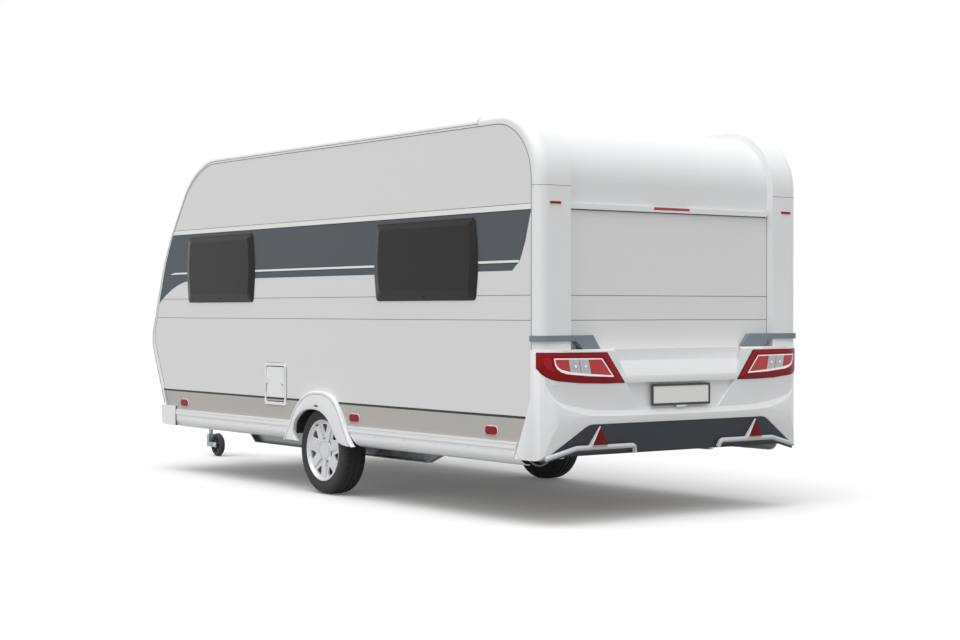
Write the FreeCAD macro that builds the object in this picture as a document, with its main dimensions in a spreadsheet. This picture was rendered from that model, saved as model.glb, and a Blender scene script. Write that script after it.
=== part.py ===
import FreeCAD, Part
import math
import os

import Sketcher

# Travel caravan on one axle, standing on its two wheels and its jockey wheel.
# Lengths are in millimetres. While a piece is drawn, x runs forward from the outer face of
# the rear panel, y to the left from the centre line and z up from the ground. Each finished
# piece is then set back by half the overall length, so that the row's origin lies on the
# ground under the middle of the caravan.

os.makedirs("parts", exist_ok=True)
doc = FreeCAD.newDocument("TravelCaravan")
sheet = doc.addObject("Spreadsheet::Sheet", "Sizes")

# Driving dimensions, by the sub-assembly that they belong to.
SIZES = {
    # Whole vehicle
    "body_width": 2300, "roof_top": 2630, "rear_reach": 122, "coupling_tip": 6690,
    "overrun": 20, "seat_gap": 0.3,
    # Cabin walls
    "wall_thick": 31, "floor_thick": 44, "floor_low": 455, "skin_drop": 45, "skin_thick": 31,
    "moulding_width": 90, "moulding_round": 34, "chin_round": 160,
    # Side outline: outer edge of the mouldings
    "pillar_step": 58, "rear_radius": 430, "brow_x": 4591, "brow_radius": 720,
    "visor_x": 5161, "visor_drop": 765, "visor_radius": 1600,
    "nose_x": 5437, "nose_z": 1113, "nose_radius": 280, "chin_x": 5190, "chin_z": 572,
    # Side outline: seam between the side sheet and the mouldings
    "seam_rear": 31, "seam_top_drop": 57, "seam_rear_radius": 370,
    "seam_brow_back": 23, "seam_visor_back": 76, "seam_visor_rise": 15,
    "seam_nose_back": 84, "seam_nose_rise": 37, "seam_chin_back": 155,
    "seam_brow_radius": 660, "seam_visor_radius": 1500, "seam_nose_radius": 190,
    # Side outline: outer face of the roof and front skins
    "skin_brow_back": 22, "skin_visor_back": 40, "skin_visor_drop": 22,
    "skin_nose_back": 49, "skin_nose_rise": 2, "skin_chin_back": 103,
    # Rear pillars and caps
    "pillar_width": 248, "cap_drop": 470, "cap_front": 600, "pillar_round": 70,
    "trim_drop": 610, "trim_tall": 34, "trim_proud": 17, "trim_gap": 10,
    "brake_light_width": 322, "brake_light_high": 14, "brake_light_proud": 6,
    "marker_in": 80, "marker_wide": 85, "marker_drop": 572, "marker_tall": 14,
    "marker_thick": 6,
    # Wheels and axle
    "axle_x": 2600, "axle_z": 328, "tyre_radius": 328, "tyre_width": 200, "wheel_in": 125,
    "rim_radius": 228, "rim_seat_radius": 212, "rim_wall": 6, "tread_crown": 6,
    "tyre_shoulder": 34, "disc_inset": 20, "disc_thick": 14,
    "window_inner": 126, "window_outer": 197, "window_half": 41, "window_round": 13,
    "window_point_round": 7, "dish_depth": 9, "cap_radius": 78, "cap_ring_radius": 86,
    "cap_proud": 4, "ridge_half": 20, "ridge_proud": 4, "ridge_round": 8,
    "drum_radius": 118, "drum_width": 66, "spoke_count": 7,
    "stub_radius": 20, "stub_gap": 0.4, "stub_out": 60, "arm_thick": 34, "arm_radius": 46,
    "tube_radius": 50, "tube_ahead": 160, "tube_in": 350,
    # Wheel housings and spats
    "arch_half": 375, "arch_top": 703, "arch_round": 235, "tub_thick": 5, "tub_depth": 270,
    "spat_foot_half": 520, "spat_half": 416, "spat_crown_half": 213, "spat_foot": 385,
    "spat_knee": 515, "spat_top": 764, "spat_round": 200, "spat_proud": 36, "spat_bevel": 16,
    "open_foot_half": 470, "open_half": 352, "open_crown_half": 165, "open_knee": 432,
    "open_top": 636, "open_round": 150,
    # Chassis
    "rail_in": 500, "rail_flange": 52, "rail_plate": 6, "rail_rear_x": 320, "rail_front_x": 4700,
    "rail_shallow": 60, "rail_deep": 190, "rail_taper_rear": 1500, "rail_taper_front": 4370,
    "rail_taper_run": 170, "cross_width": 60, "cross_high": 50,
    "cross_rear_x": 420, "cross_mid_x": 1900, "cross_front_x": 4560,
    "arm_start_x": 4640, "arm_end_x": 6150, "arm_end_y": 62, "arm_width": 50,
    "arm_low": 365, "arm_high": 90,
    "head_tube_radius": 32, "head_tube_rear": 6020, "head_z": 430,
    "house_radius": 44, "house_front": 6390, "house_flange": 62, "house_flange_thick": 12,
    "ball_x": 6610, "ball_radius": 25.2, "cup_radius": 44, "cup_high": 74, "cup_low": 30,
    "neck_radius": 30, "lever_length": 230, "lever_high": 26, "lever_width": 44,
    "brake_lever_x": 6210, "brake_lever_length": 300, "brake_lever_width": 24,
    # Jockey wheel
    "jockey_x": 6315, "jockey_y": 92, "jockey_trail": 140, "jockey_radius": 108,
    "jockey_width": 48, "jockey_rim": 74, "jockey_web": 10, "jockey_hub": 24, "jockey_bead": 14,
    "sleeve_radius": 27, "sleeve_low": 290,
    "sleeve_high": 640, "inner_radius": 21, "inner_low": 200, "inner_high": 440,
    "clamp_width": 34, "clamp_high": 70, "fork_gap": 4, "fork_plate": 5, "fork_high": 44,
    "fork_foot": 84, "axle_pin_radius": 8, "pin_gap": 0.4, "crank_high": 60,
    "crank_reach": 110, "crank_radius": 9,
    # Corner steadies
    "steady_rear_x": 900, "steady_front_x": 4180, "steady_in": 350, "leg_length": 410,
    "leg_width": 46, "leg_high": 34, "leg_plate": 4, "foot_width": 110, "foot_length": 70, "foot_thick": 8,
    "hinge_z": 402, "bracket_thick": 6, "bracket_length": 70, "leg_gap": 2,
    "hinge_pin_radius": 8,
    # Rear bumper and lamps
    "bumper_top": 1124, "bumper_low": 425, "bumper_round": 170, "bumper_edge": 96,
    "bumper_bow_in": 450, "bumper_bow_round": 1200, "belly_z": 720, "belly_round": 90,
    "under_in": 74, "under_round": 30, "bumper_shell": 10,
    "bumper_top_round": 14, "ledge_half": 560, "ledge_high": 1052, "ledge_low": 950,
    "ledge_in": 46,
    "insert_high": 642, "insert_low": 445, "insert_top_in": 370, "insert_low_in": 60,
    "insert_depth": 12, "insert_round": 110, "wing_front": 212, "wing_high": 811, "wing_thick": 8,
    "recess_top_half": 450, "recess_low": 732, "recess_low_half": 328,
    "recess_floor": 16, "plate_width": 504, "plate_high": 124, "plate_z": 820,
    "plate_thick": 6,
    "tier_low": 728, "tier_bend_in": 177, "tier_knee_in": 13, "tier_knee": 791, "tier_rise": 930,
    "tier_in": 15, "tier_round": 300,
    "lamp_top": 1106, "lamp_low": 908, "lamp_outer_low": 1000, "lamp_gap": 22,
    "lamp_lean": 162, "lamp_bend_in": 128, "lamp_proud": 6, "lamp_depth": 90,
    "strip_top": 1213, "strip_mid": 1176, "strip_top_in": 450, "strip_low_in": 520,
    "strip_foot_in": 350, "strip_proud": 16, "strip_thick": 26,
    "triangle_in": 460, "triangle_half": 66, "triangle_low": 512, "triangle_high": 628,
    "triangle_proud": 10,
    "bar_width": 30, "bar_outer_in": 60, "bar_bend_in": 320, "bar_inner_in": 765,
    "bar_high": 508, "bar_low": 460, "bar_proud": 34,
    # Skirts and front corners
    "rail_strip_high": 533, "rail_strip_low": 491, "rail_strip_proud": 12, "skirt_low": 385,
    "bead_high": 13, "groove_high": 8, "groove_deep": 5,
    "skirt_in": 76, "skirt_thick": 6, "skirt_round": 69, "skirt_rear": 140,
    "skirt_front": 4920, "corner_front": 5190, "corner_low": 396, "corner_width": 330,
    "corner_top": 560, "corner_round": 60, "corner_proud": 10,
    "marker_rear_x": 445, "marker_mid_back": 500, "marker_front_x": 4770, "marker_length": 125,
    "marker_high": 55, "marker_z": 595, "marker_proud": 9, "marker_round_share": 0.96,
    # Left side windows, service hatch and glazing
    "pane_thick": 26, "pane_proud": 22, "pane_round": 60, "pane_edge": 7, "pane_corner": 26,
    "pane_bow": 37, "pane_bow_round": 1000, "pane_side_in": 56, "pane_top_in": 40,
    "pane_low_in": 62, "pane_inner_bow": 24, "pane_inner_round": 700,
    "rear_win_x": 625, "rear_win_width": 1180, "win_drop": 656, "win_tall": 531,
    "front_win_x": 3596, "front_win_width": 1092, "blind_thick": 12,
    "hatch_ahead": 500, "hatch_width": 281, "hatch_low": 665, "hatch_high": 277,
    "hatch_round": 20, "hatch_depth": 260, "hatch_frame": 24, "frame_proud": 5,
    "flap_thick": 20, "flap_gap": 7, "lining": 5,
    "pin_out": 9, "knuckle_radius": 6, "knuckle_length": 50, "leaf_thick": 5, "leaf_length": 28,
    "hinge_pin": 3,
    "nose_win_low_share": 0.3625, "nose_win_drop": 670, "nose_win_in": 400, "nose_win_round": 90,
    # Right side: entrance door and windows
    "door_ahead": 780, "door_width": 620, "door_low": 545, "door_head": 330, "door_round": 60,
    "door_gap": 7, "door_hinge_rise": 260,
    "door_win_drop": 630, "door_win_tall": 520, "door_win_margin": 110,
    "handle_length": 130, "handle_proud": 14, "handle_z": 1250, "handle_high": 60,
    "handle_margin": 30,
    "right_win_x": 925, "right_win_width": 1180,
    "kitchen_win_x": 2345, "kitchen_win_width": 710,
    # Gas locker in the nose
    "lid_low": 640, "lid_high": 1130, "lid_in": 330, "lid_gap": 8, "lid_hinge_in": 220,
    "lid_foot_x": 5170, "lid_slant_share": 0.456, "lid_clear": 90, "nose_face_x": 5365.6,
    "front_thick": 40, "locker_back": 4760, "locker_top": 1210, "locker_wall": 25,
    # Roof hatches
    "hatch_front_x": 3500, "hatch_front_length": 700, "hatch_front_width": 500,
    "hatch_rear_x": 1300, "hatch_rear_length": 400, "hatch_rear_width": 400,
    "dome_high": 62, "dome_round": 18, "dome_corner": 60, "dome_lap": 30,
}

for row_number, (alias, value) in enumerate(SIZES.items(), start=1):
    sheet.set(f"A{row_number}", alias)
    sheet.set(f"B{row_number}", str(value))
    sheet.setAlias(f"B{row_number}", alias)
doc.recompute()


class Size:
    """A length together with the expression that gives it from the sheet."""

    def __init__(self, value, text):
        self.value = float(value)
        self.text = text

    def __add__(self, other):
        other = as_size(other)
        return Size(self.value + other.value, f"({self.text} + {other.text})")

    def __sub__(self, other):
        other = as_size(other)
        return Size(self.value - other.value, f"({self.text} - {other.text})")

    def __mul__(self, share):
        return Size(self.value * share, f"({self.text} * {share!r})")

    def __truediv__(self, share):
        return Size(self.value / share, f"({self.text} / {share!r})")

    def __neg__(self):
        return Size(-self.value, f"(0 - {self.text})")

    __rmul__ = __mul__


def as_size(value):
    """Return a Size for a bare zero, and a Size as it is."""
    return value if isinstance(value, Size) else Size(value, repr(value))


class Sheet:
    """The driving dimensions as attributes, each a Size bound to its cell."""

    def __getattr__(self, alias):
        return Size(sheet.get(alias), f"Sizes.{alias}")


d = Sheet()
ZERO = as_size(0)

# Values that follow from the driving dimensions and are used by several pieces.
half_width = d.body_width / 2
inner_y = half_width - d.wall_thick
floor_top = d.floor_low + d.floor_thick
datum_x = (d.coupling_tip - d.rear_reach) / 2
skin_top = d.roof_top - d.skin_drop
seam_top = d.roof_top - d.seam_top_drop
centre_half = half_width - d.pillar_width
roof_half = half_width - d.moulding_width
rail_low = d.floor_low - d.rail_deep
rail_y = half_width - d.rail_in
wheel_y = half_width - d.wheel_in
tub_inner_y = half_width - d.tub_depth
visor_z = d.roof_top - d.visor_drop
cap_low = d.roof_top - d.cap_drop
trim_low = d.roof_top - d.trim_drop
trim_high = trim_low + d.trim_tall
win_high = d.roof_top - d.win_drop
win_low = win_high - d.win_tall
nose_win_high = d.roof_top - d.nose_win_drop
nose_win_low = d.nose_z + (nose_win_high - d.nose_z) * d.nose_win_low_share.value
nose_win_half = half_width - d.nose_win_in
hatch_x = d.axle_x + d.hatch_ahead
door_x = d.axle_x + d.door_ahead
door_top = d.roof_top - d.door_head

OUTER_CORNERS = [
    (-d.pillar_step, d.floor_low, None),
    (d.chin_x - (d.chin_z - d.floor_low), d.floor_low, None),
    (d.chin_x, d.chin_z, d.chin_round),
    (d.nose_x, d.nose_z, d.nose_radius),
    (d.visor_x, visor_z, d.visor_radius),
    (d.brow_x, d.roof_top, d.brow_radius),
    (-d.pillar_step, d.roof_top, d.rear_radius),
]
SEAM_CORNERS = [
    (d.seam_rear, d.floor_low, None),
    (d.chin_x - d.seam_chin_back, d.floor_low, None),
    (d.nose_x - d.seam_nose_back, d.nose_z + d.seam_nose_rise, d.seam_nose_radius),
    (d.visor_x - d.seam_visor_back, visor_z + d.seam_visor_rise, d.seam_visor_radius),
    (d.brow_x - d.seam_brow_back, seam_top, d.seam_brow_radius),
    (d.seam_rear, seam_top, d.seam_rear_radius),
]


def skin_corners(depth):
    """Return the outline of the centre skins, taken in by a depth from their outer face."""
    return [
        (depth, d.floor_low, None),
        (d.chin_x - d.skin_chin_back - depth, d.floor_low, None),
        (d.nose_x - d.skin_nose_back - depth, d.nose_z + d.skin_nose_rise, d.nose_radius),
        (d.visor_x - d.skin_visor_back - depth, visor_z - d.skin_visor_drop, d.visor_radius),
        (d.brow_x - d.skin_brow_back - depth / 2, skin_top - depth, d.brow_radius - depth),
        (depth, skin_top - depth, d.rear_radius - d.skin_drop - depth),
    ]


def rectangle(low_h, low_v, high_h, high_v, radius=None):
    """Return the four corners of an upright rectangle, each with the same round."""
    return [(low_h, low_v, radius), (high_h, low_v, radius),
            (high_h, high_v, radius), (low_h, high_v, radius)]


class Piece:
    """One PartDesign body whose sketches and features take their sizes from the sheet."""

    PLANES = {"x": ("YZ_Plane", 1), "y": ("XZ_Plane", -1), "z": ("XY_Plane", 1)}

    def __init__(self, name):
        self.name = name
        self.body = doc.addObject("PartDesign::Body", name)
        self.count = 0

    def sketch(self, axis, level, origin=None):
        """Return a new sketch square to an axis, at a level along it, about an origin."""
        role, sign = self.PLANES[axis]
        self.count += 1
        sketch = self.body.newObject("Sketcher::SketchObject", f"{self.name}_sketch{self.count}")
        plane = [f for f in self.body.Origin.OriginFeatures if f.Role == role][0]
        sketch.AttachmentSupport = [(plane, "")]
        sketch.MapMode = "FlatFace"
        level = as_size(level)
        text = level.text if sign > 0 else f"0 - {level.text}"
        sketch.setExpression("AttachmentOffset.Base.z", text)
        if origin is not None:
            sketch.setExpression("AttachmentOffset.Base.x", origin[0].text)
            sketch.setExpression("AttachmentOffset.Base.y", origin[1].text)
        return sketch

    @property
    def volume(self):
        """The body's volume so far."""
        shape = self.body.Shape
        return 0.0 if shape.isNull() else shape.Volume

    def pad(self, axis, low, high, *loops, origin=None):
        """Add the prism of the loops between two levels along an axis."""
        low, high = as_size(low), as_size(high)
        sign = self.PLANES[axis][1]
        sketch = self.sketch(axis, low if sign > 0 else high, origin)
        for loop in loops:
            draw_loop(sketch, loop)
        before = self.volume
        feature = self.body.newObject("PartDesign::Pad", f"{self.name}_pad{self.count}")
        feature.Profile = sketch
        feature.setExpression("Length", (high - low).text)
        doc.recompute()
        if self.body.Shape.Volume <= before:
            raise RuntimeError(f"{feature.Name} added nothing")
        return feature

    def pocket(self, axis, low, high, *loops, origin=None):
        """Cut the prism of the loops between two levels along an axis."""
        low, high = as_size(low), as_size(high)
        sign = self.PLANES[axis][1]
        sketch = self.sketch(axis, high if sign > 0 else low, origin)
        for loop in loops:
            draw_loop(sketch, loop)
        before = self.volume
        feature = self.body.newObject("PartDesign::Pocket", f"{self.name}_pocket{self.count}")
        feature.Profile = sketch
        feature.setExpression("Length", (high - low).text)
        doc.recompute()
        if self.body.Shape.Volume >= before:
            raise RuntimeError(f"{feature.Name} cut nothing")
        return feature

    def loft(self, axis, low, high, near, far):
        """Add the ruled loft from one outline at a level to another further along the axis."""
        sign = self.PLANES[axis][1]
        sketches = []
        for level, loop in ((low, near), (high, far)):
            sketches.append(self.sketch(axis, level))
            draw_loop(sketches[-1], loop)
        if sign < 0:
            sketches.reverse()
        before = self.volume
        feature = self.body.newObject("PartDesign::AdditiveLoft", f"{self.name}_loft{self.count}")
        feature.Profile = sketches[0]
        feature.Sections = [sketches[1]]
        feature.Ruled = True
        doc.recompute()
        if self.body.Shape.Volume <= before:
            raise RuntimeError(f"{feature.Name} added nothing")
        return feature

    def revolve(self, plane_axis, level, loop, line, kind="PartDesign::Revolution"):
        """Turn a loop a full circle about a construction line of its own sketch."""
        sketch = self.sketch(plane_axis, level)
        draw_loop(sketch, loop)
        edge = draw_line(sketch, line[0], line[1])
        sketch.setConstruction(edge, True)
        before = self.volume
        feature = self.body.newObject(kind, f"{self.name}_turn{self.count}")
        feature.Profile = sketch
        feature.ReferenceAxis = (sketch, ["Axis0"])
        feature.Angle = 360
        doc.recompute()
        if abs(self.body.Shape.Volume - before) == 0:
            raise RuntimeError(f"{feature.Name} changed nothing")
        return feature

    def repeat(self, feature, count):
        """Repeat the last feature evenly about the normal through its sketch's origin."""
        pattern = self.body.newObject("PartDesign::PolarPattern", f"{self.name}_row{self.count}")
        pattern.Originals = [feature]
        pattern.Axis = (feature.Profile[0], ["N_Axis"])
        pattern.Angle = 360
        pattern.setExpression("Occurrences", count.text)
        self.body.Tip = pattern
        doc.recompute()
        return pattern

    def round_edges(self, radius, picks, kind="PartDesign::Fillet"):
        """Round or chamfer the edges that a test picks from the body so far."""
        base = self.body.Tip
        names = [f"Edge{number}" for number, edge in enumerate(base.Shape.Edges, start=1)
                 if picks(edge)]
        feature = self.body.newObject(kind, f"{self.name}_round{self.count}")
        self.count += 1
        feature.Base = (base, names)
        feature.setExpression("Radius" if kind.endswith("Fillet") else "Size", radius.text)
        doc.recompute()
        return feature


def corner_points(loop):
    """Return, for each corner, where its round starts and ends and the round's centre."""
    places = []
    count = len(loop)
    for index, (h, v, radius) in enumerate(loop):
        here = FreeCAD.Vector(h.value, v.value, 0)
        if radius is None:
            places.append((here, here, None))
            continue
        last, after = loop[index - 1], loop[(index + 1) % count]
        back = (FreeCAD.Vector(last[0].value, last[1].value, 0) - here).normalize()
        ahead = (FreeCAD.Vector(after[0].value, after[1].value, 0) - here).normalize()
        half = back.getAngle(ahead) / 2
        reach = radius.value / math.tan(half)
        middle = (back + ahead).normalize() * (radius.value / math.sin(half))
        places.append((here + back * reach, here + ahead * reach, here + middle))
    return places


def fix_point(sketch, index, end, h, v):
    """Tie one point of a sketch to two sizes measured from the sketch's origin."""
    for kind, size in (("DistanceX", h), ("DistanceY", v)):
        number = sketch.addConstraint(Sketcher.Constraint(kind, -1, 1, index, end, size.value))
        sketch.setExpression(f"Constraints[{number}]", size.text)


def draw_line(sketch, start, end):
    """Draw a line between two places given as sizes."""
    line = Part.LineSegment(FreeCAD.Vector(start[0].value, start[1].value, 0),
                            FreeCAD.Vector(end[0].value, end[1].value, 0))
    index = sketch.addGeometry(line)
    fix_point(sketch, index, 1, start[0], start[1])
    fix_point(sketch, index, 2, end[0], end[1])
    return index


def draw_circle(sketch, h, v, radius):
    """Draw a circle whose centre and radius are sizes."""
    centre = FreeCAD.Vector(h.value, v.value, 0)
    index = sketch.addGeometry(Part.Circle(centre, FreeCAD.Vector(0, 0, 1), radius.value))
    fix_point(sketch, index, 3, h, v)
    number = sketch.addConstraint(Sketcher.Constraint("Radius", index, radius.value))
    sketch.setExpression(f"Constraints[{number}]", radius.text)


def draw_loop(sketch, loop):
    """Draw a circle (h, v, radius), or a closed outline of corners with optional rounds.

    A round corner keeps its sharp corner as a construction point that the two lines run
    through, so that the corner and its radius are what the sheet drives.
    """
    if len(loop) == 3 and isinstance(loop[0], Size):
        draw_circle(sketch, *loop)
        return
    places = corner_points(loop)
    count = len(loop)
    lines = []
    for index in range(count):
        start, end = places[index][1], places[(index + 1) % count][0]
        lines.append(sketch.addGeometry(Part.LineSegment(start, end)))
    for index, (h, v, radius) in enumerate(loop):
        before, after = lines[index - 1], lines[index]
        if radius is None:
            fix_point(sketch, after, 1, h, v)
            sketch.addConstraint(Sketcher.Constraint("Coincident", before, 2, after, 1))
            continue
        corner = sketch.addGeometry(Part.Point(FreeCAD.Vector(h.value, v.value, 0)), True)
        fix_point(sketch, corner, 1, h, v)
        sketch.addConstraint(Sketcher.Constraint("PointOnObject", corner, 1, before))
        sketch.addConstraint(Sketcher.Constraint("PointOnObject", corner, 1, after))
        start, end, centre = places[index]
        first = math.atan2(start.y - centre.y, start.x - centre.x)
        last = math.atan2(end.y - centre.y, end.x - centre.x)
        left_turn = math.sin(last - first) > 0
        circle = Part.Circle(centre, FreeCAD.Vector(0, 0, 1), radius.value)
        low, high = (first, last) if left_turn else (last, first)
        if high < low:
            high += 2 * math.pi
        arc = sketch.addGeometry(Part.ArcOfCircle(circle, low, high))
        arc_in, arc_out = (1, 2) if left_turn else (2, 1)
        sketch.addConstraint(Sketcher.Constraint("Tangent", before, 2, arc, arc_in))
        sketch.addConstraint(Sketcher.Constraint("Tangent", after, 1, arc, arc_out))
        number = sketch.addConstraint(Sketcher.Constraint("Radius", arc, radius.value))
        sketch.setExpression(f"Constraints[{number}]", radius.text)


def outline_shape(loop):
    """Return an outline as edges in its own plane, with its rounds."""
    places = corner_points(loop)
    edges = []
    for index, (h, v, radius) in enumerate(loop):
        start, end, centre = places[index]
        if centre is not None:
            sharp = FreeCAD.Vector(h.value, v.value, 0)
            top = centre + (sharp - centre).normalize() * radius.value
            edges.append(Part.Arc(start, top, end).toShape())
        ahead = places[(index + 1) % len(loop)][0]
        edges.append(Part.LineSegment(end, ahead).toShape())
    return Part.Compound(edges)


def runs_along(edge, level, outline, margin):
    """Return whether an edge lies at a level across and runs along an outline."""
    middle = edge.valueAt((edge.FirstParameter + edge.LastParameter) / 2)
    if edge.BoundBox.YLength > margin or abs(middle.y - level.value) > margin:
        return False
    spot = Part.Vertex(FreeCAD.Vector(middle.x, middle.z, 0))
    return outline.distToShape(spot)[0] < margin


NODES = {}


def keep(name, item):
    """Keep a finished piece as a node, set back to the row's frame."""
    made = item.body if isinstance(item, Piece) else item
    if made.TypeId in ("Part::Box", "Part::Cylinder"):
        made = compound(f"{name}_node", made)
    made.Label = name
    made.setExpression("Placement.Base.x", (-datum_x).text)
    NODES[name] = made
    return made


def pair(name, build):
    """Make a piece for the left side and its mirror image for the right, as one node."""
    left = build()
    mirror = doc.addObject("Part::Mirroring", f"{name}_right")
    mirror.Source = left
    mirror.Normal = FreeCAD.Vector(0, 1, 0)
    both = doc.addObject("Part::Compound", f"{name}_pair")
    both.Links = [left, mirror]
    return keep(name, both)


def rounded(name, base, radii):
    """Round those edges of a piece for which a test gives the radii at their two ends."""
    made = doc.addObject("Part::Fillet", name)
    made.Base = base
    edges = []
    for number, edge in enumerate(base.Shape.Edges, start=1):
        found = radii(edge)
        if found is not None:
            edges.append((number, found[0].value, found[1].value))
    made.Edges = edges
    doc.recompute()
    return made


def common(name, base, tool):
    """Keep only what two pieces share."""
    made = doc.addObject("Part::Common", name)
    made.Base = base
    made.Tool = tool
    doc.recompute()
    return made


def cut(name, base, tool):
    """Take one piece away from another."""
    made = doc.addObject("Part::Cut", name)
    made.Base = base
    made.Tool = tool
    doc.recompute()
    return made


def fuse(name, *shapes):
    """Join several pieces into one."""
    made = doc.addObject("Part::MultiFuse", name)
    made.Shapes = list(shapes)
    doc.recompute()
    return made


def mirrored(name, source):
    """Return the mirror image of a piece in the centre plane."""
    made = doc.addObject("Part::Mirroring", name)
    made.Source = source
    made.Normal = FreeCAD.Vector(0, 1, 0)
    doc.recompute()
    return made


def compound(name, *items):
    """Hold solids that do not touch in one node."""
    made = doc.addObject("Part::Compound", name)
    made.Links = list(items)
    doc.recompute()
    return made


def block(name, low, high):
    """Return a box between two corners given as sizes."""
    made = doc.addObject("Part::Box", name)
    for prop, start, end in zip(("Length", "Width", "Height"), low, high):
        made.setExpression(prop, (as_size(end) - as_size(start)).text)
    for prop, start in zip(("x", "y", "z"), low):
        made.setExpression(f"Placement.Base.{prop}", as_size(start).text)
    return made


def rod(name, axis, start, radius, length):
    """Return a cylinder from a start point along an axis."""
    made = doc.addObject("Part::Cylinder", name)
    made.setExpression("Radius", radius.text)
    made.setExpression("Height", length.text)
    turn = {"x": FreeCAD.Rotation(FreeCAD.Vector(0, 1, 0), 90),
            "y": FreeCAD.Rotation(FreeCAD.Vector(1, 0, 0), -90),
            "z": FreeCAD.Rotation()}[axis]
    made.Placement = FreeCAD.Placement(FreeCAD.Vector(), turn)
    for prop, place in zip(("x", "y", "z"), start):
        made.setExpression(f"Placement.Base.{prop}", as_size(place).text)
    return made


def prism(name, axis, low, high, *loops):
    """Return the prism of the loops between two levels along an axis."""
    piece = Piece(name)
    piece.pad(axis, low, high, *loops)
    return piece.body


def carried_down(corners):
    """Return a body outline carried on below the floor, so that it cuts clean through."""
    low = d.floor_low - d.overrun
    return [(corners[0][0], low, None), (corners[1][0], low, None), *corners[1:], corners[0]]


def band(name, low, high, outer, inner):
    """Return what lies between two body outlines, from one level to another across."""
    piece = Piece(name)
    piece.pad("y", low, high, outer)
    piece.pocket("y", low - d.overrun, high + d.overrun, carried_down(inner))
    return piece.body


def hinge(name, axis, place, fixed_arm, moving_arm):
    """Return the two halves of a hinge, the fixed one with the pin.

    The place is the lower end of the pin. Each arm is a pair of corners across the axis.
    """
    index, length = "xyz".index(axis), d.knuckle_length
    second = list(place)
    second[index] = place[index] + length + d.pin_gap
    halves = []
    for word, start, (low, high) in (("fixed", place, fixed_arm),
                                     ("moving", second, moving_arm)):
        knuckle = rod(f"{name}_{word}_knuckle", axis, start, d.knuckle_radius, length)
        low_corner = (*low[:index], start[index], *low[index:])
        high_corner = (*high[:index], start[index] + length, *high[index:])
        leaf = block(f"{name}_{word}_leaf", low_corner, high_corner)
        halves.append(fuse(f"{name}_{word}", knuckle, leaf))
    pin = rod(f"{name}_pin", axis, place, d.hinge_pin, length * 2)
    bore = rod(f"{name}_bore", axis, second, d.hinge_pin + d.pin_gap, length)
    return fuse(f"{name}_with_pin", halves[0], pin), cut(f"{name}_bored", halves[1], bore)


# Cabin: floor, side walls, rear wall, roof and front
def wheel_notch(side):
    """Return the floor's cut-out over one wheel, seen from above."""
    reach = d.arch_half + d.tub_thick
    low, high = tub_inner_y, half_width + d.overrun
    if side < 0:
        low, high = -high, -low
    return rectangle(d.axle_x - reach, low, d.axle_x + reach, high)


floor = Piece("floor_panel")
floor_front = d.chin_x - d.skin_chin_back - d.front_thick - d.seat_gap
floor_side_front = d.chin_x - d.seam_chin_back
floor.pad("z", d.floor_low, floor_top, [
    (d.wall_thick, -inner_y, None), (floor_side_front, -inner_y, None),
    (floor_side_front, -roof_half, None), (floor_front, -roof_half, None),
    (floor_front, roof_half, None), (floor_side_front, roof_half, None),
    (floor_side_front, inner_y, None), (d.wall_thick, inner_y, None)])
floor.pocket("z", d.floor_low, floor_top, wheel_notch(1), wheel_notch(-1))
keep("floor_panel", floor)


def arch_loop(grown=ZERO):
    """Return the outline of a wheel housing, grown by a margin, open below the floor."""
    half, top = d.arch_half + grown, d.arch_top + grown
    low = d.floor_low - d.overrun
    bend = d.arch_round + grown
    return [(d.axle_x - half, low, None), (d.axle_x + half, low, None),
            (d.axle_x + half, top, bend), (d.axle_x - half, top, bend)]


def window_loop(start, width, grown=ZERO):
    """Return a side window's outline, grown by a margin."""
    return rectangle(start - grown, win_low - grown, start + width + grown,
                     win_high + grown, d.pane_round)


def pane_loop(start, width, inner=False):
    """Return a pane's outline, bowed out at its sides, or that of its flat middle."""
    side, top, low, bow, bend = ZERO, ZERO, ZERO, d.pane_bow, d.pane_bow_round
    if inner:
        side, top, low = d.pane_side_in, d.pane_top_in, d.pane_low_in
        bow, bend = d.pane_inner_bow, d.pane_inner_round
    left, right, corner = start + side, start + width - side, d.pane_corner
    middle = (win_low + win_high) / 2
    return [(left, win_low + low, corner), (right, win_low + low, corner),
            (right + bow, middle, bend), (right, win_high - top, corner),
            (left, win_high - top, corner), (left - bow, middle, bend)]


def window_pane(name, start, width, out):
    """Return an acrylic pane whose edges slope back from its flat middle."""
    edge = half_width + d.pane_edge
    face = half_width + d.pane_proud
    pane = Piece(name)
    outer, flat = pane_loop(start, width), pane_loop(start, width, inner=True)
    if out:
        pane.pad("y", half_width, edge, outer)
        pane.loft("y", edge, face, outer, flat)
    else:
        pane.pad("y", -edge, -half_width, outer)
        pane.loft("y", -face, -edge, flat, outer)
    return pane.body


def hatch_loop(grown=ZERO):
    """Return the service hatch's outline, grown by a margin."""
    return rectangle(hatch_x - grown, d.hatch_low - grown, hatch_x + d.hatch_width + grown,
                     d.hatch_low + d.hatch_high + grown, d.hatch_round)


def door_loop(grown=ZERO):
    """Return the entrance door's outline, grown by a margin."""
    return rectangle(door_x - grown, d.door_low - grown, door_x + d.door_width + grown,
                     door_top + grown, d.door_round)


left_wall = Piece("side_wall_left")
left_wall.pad("y", inner_y, half_width, SEAM_CORNERS)
left_wall.pocket("y", inner_y - d.overrun, half_width + d.overrun, arch_loop(),
                 window_loop(d.rear_win_x, d.rear_win_width, -d.pane_thick),
                 window_loop(d.front_win_x, d.front_win_width, -d.pane_thick), hatch_loop())
keep("side_wall_left", left_wall)

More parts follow.
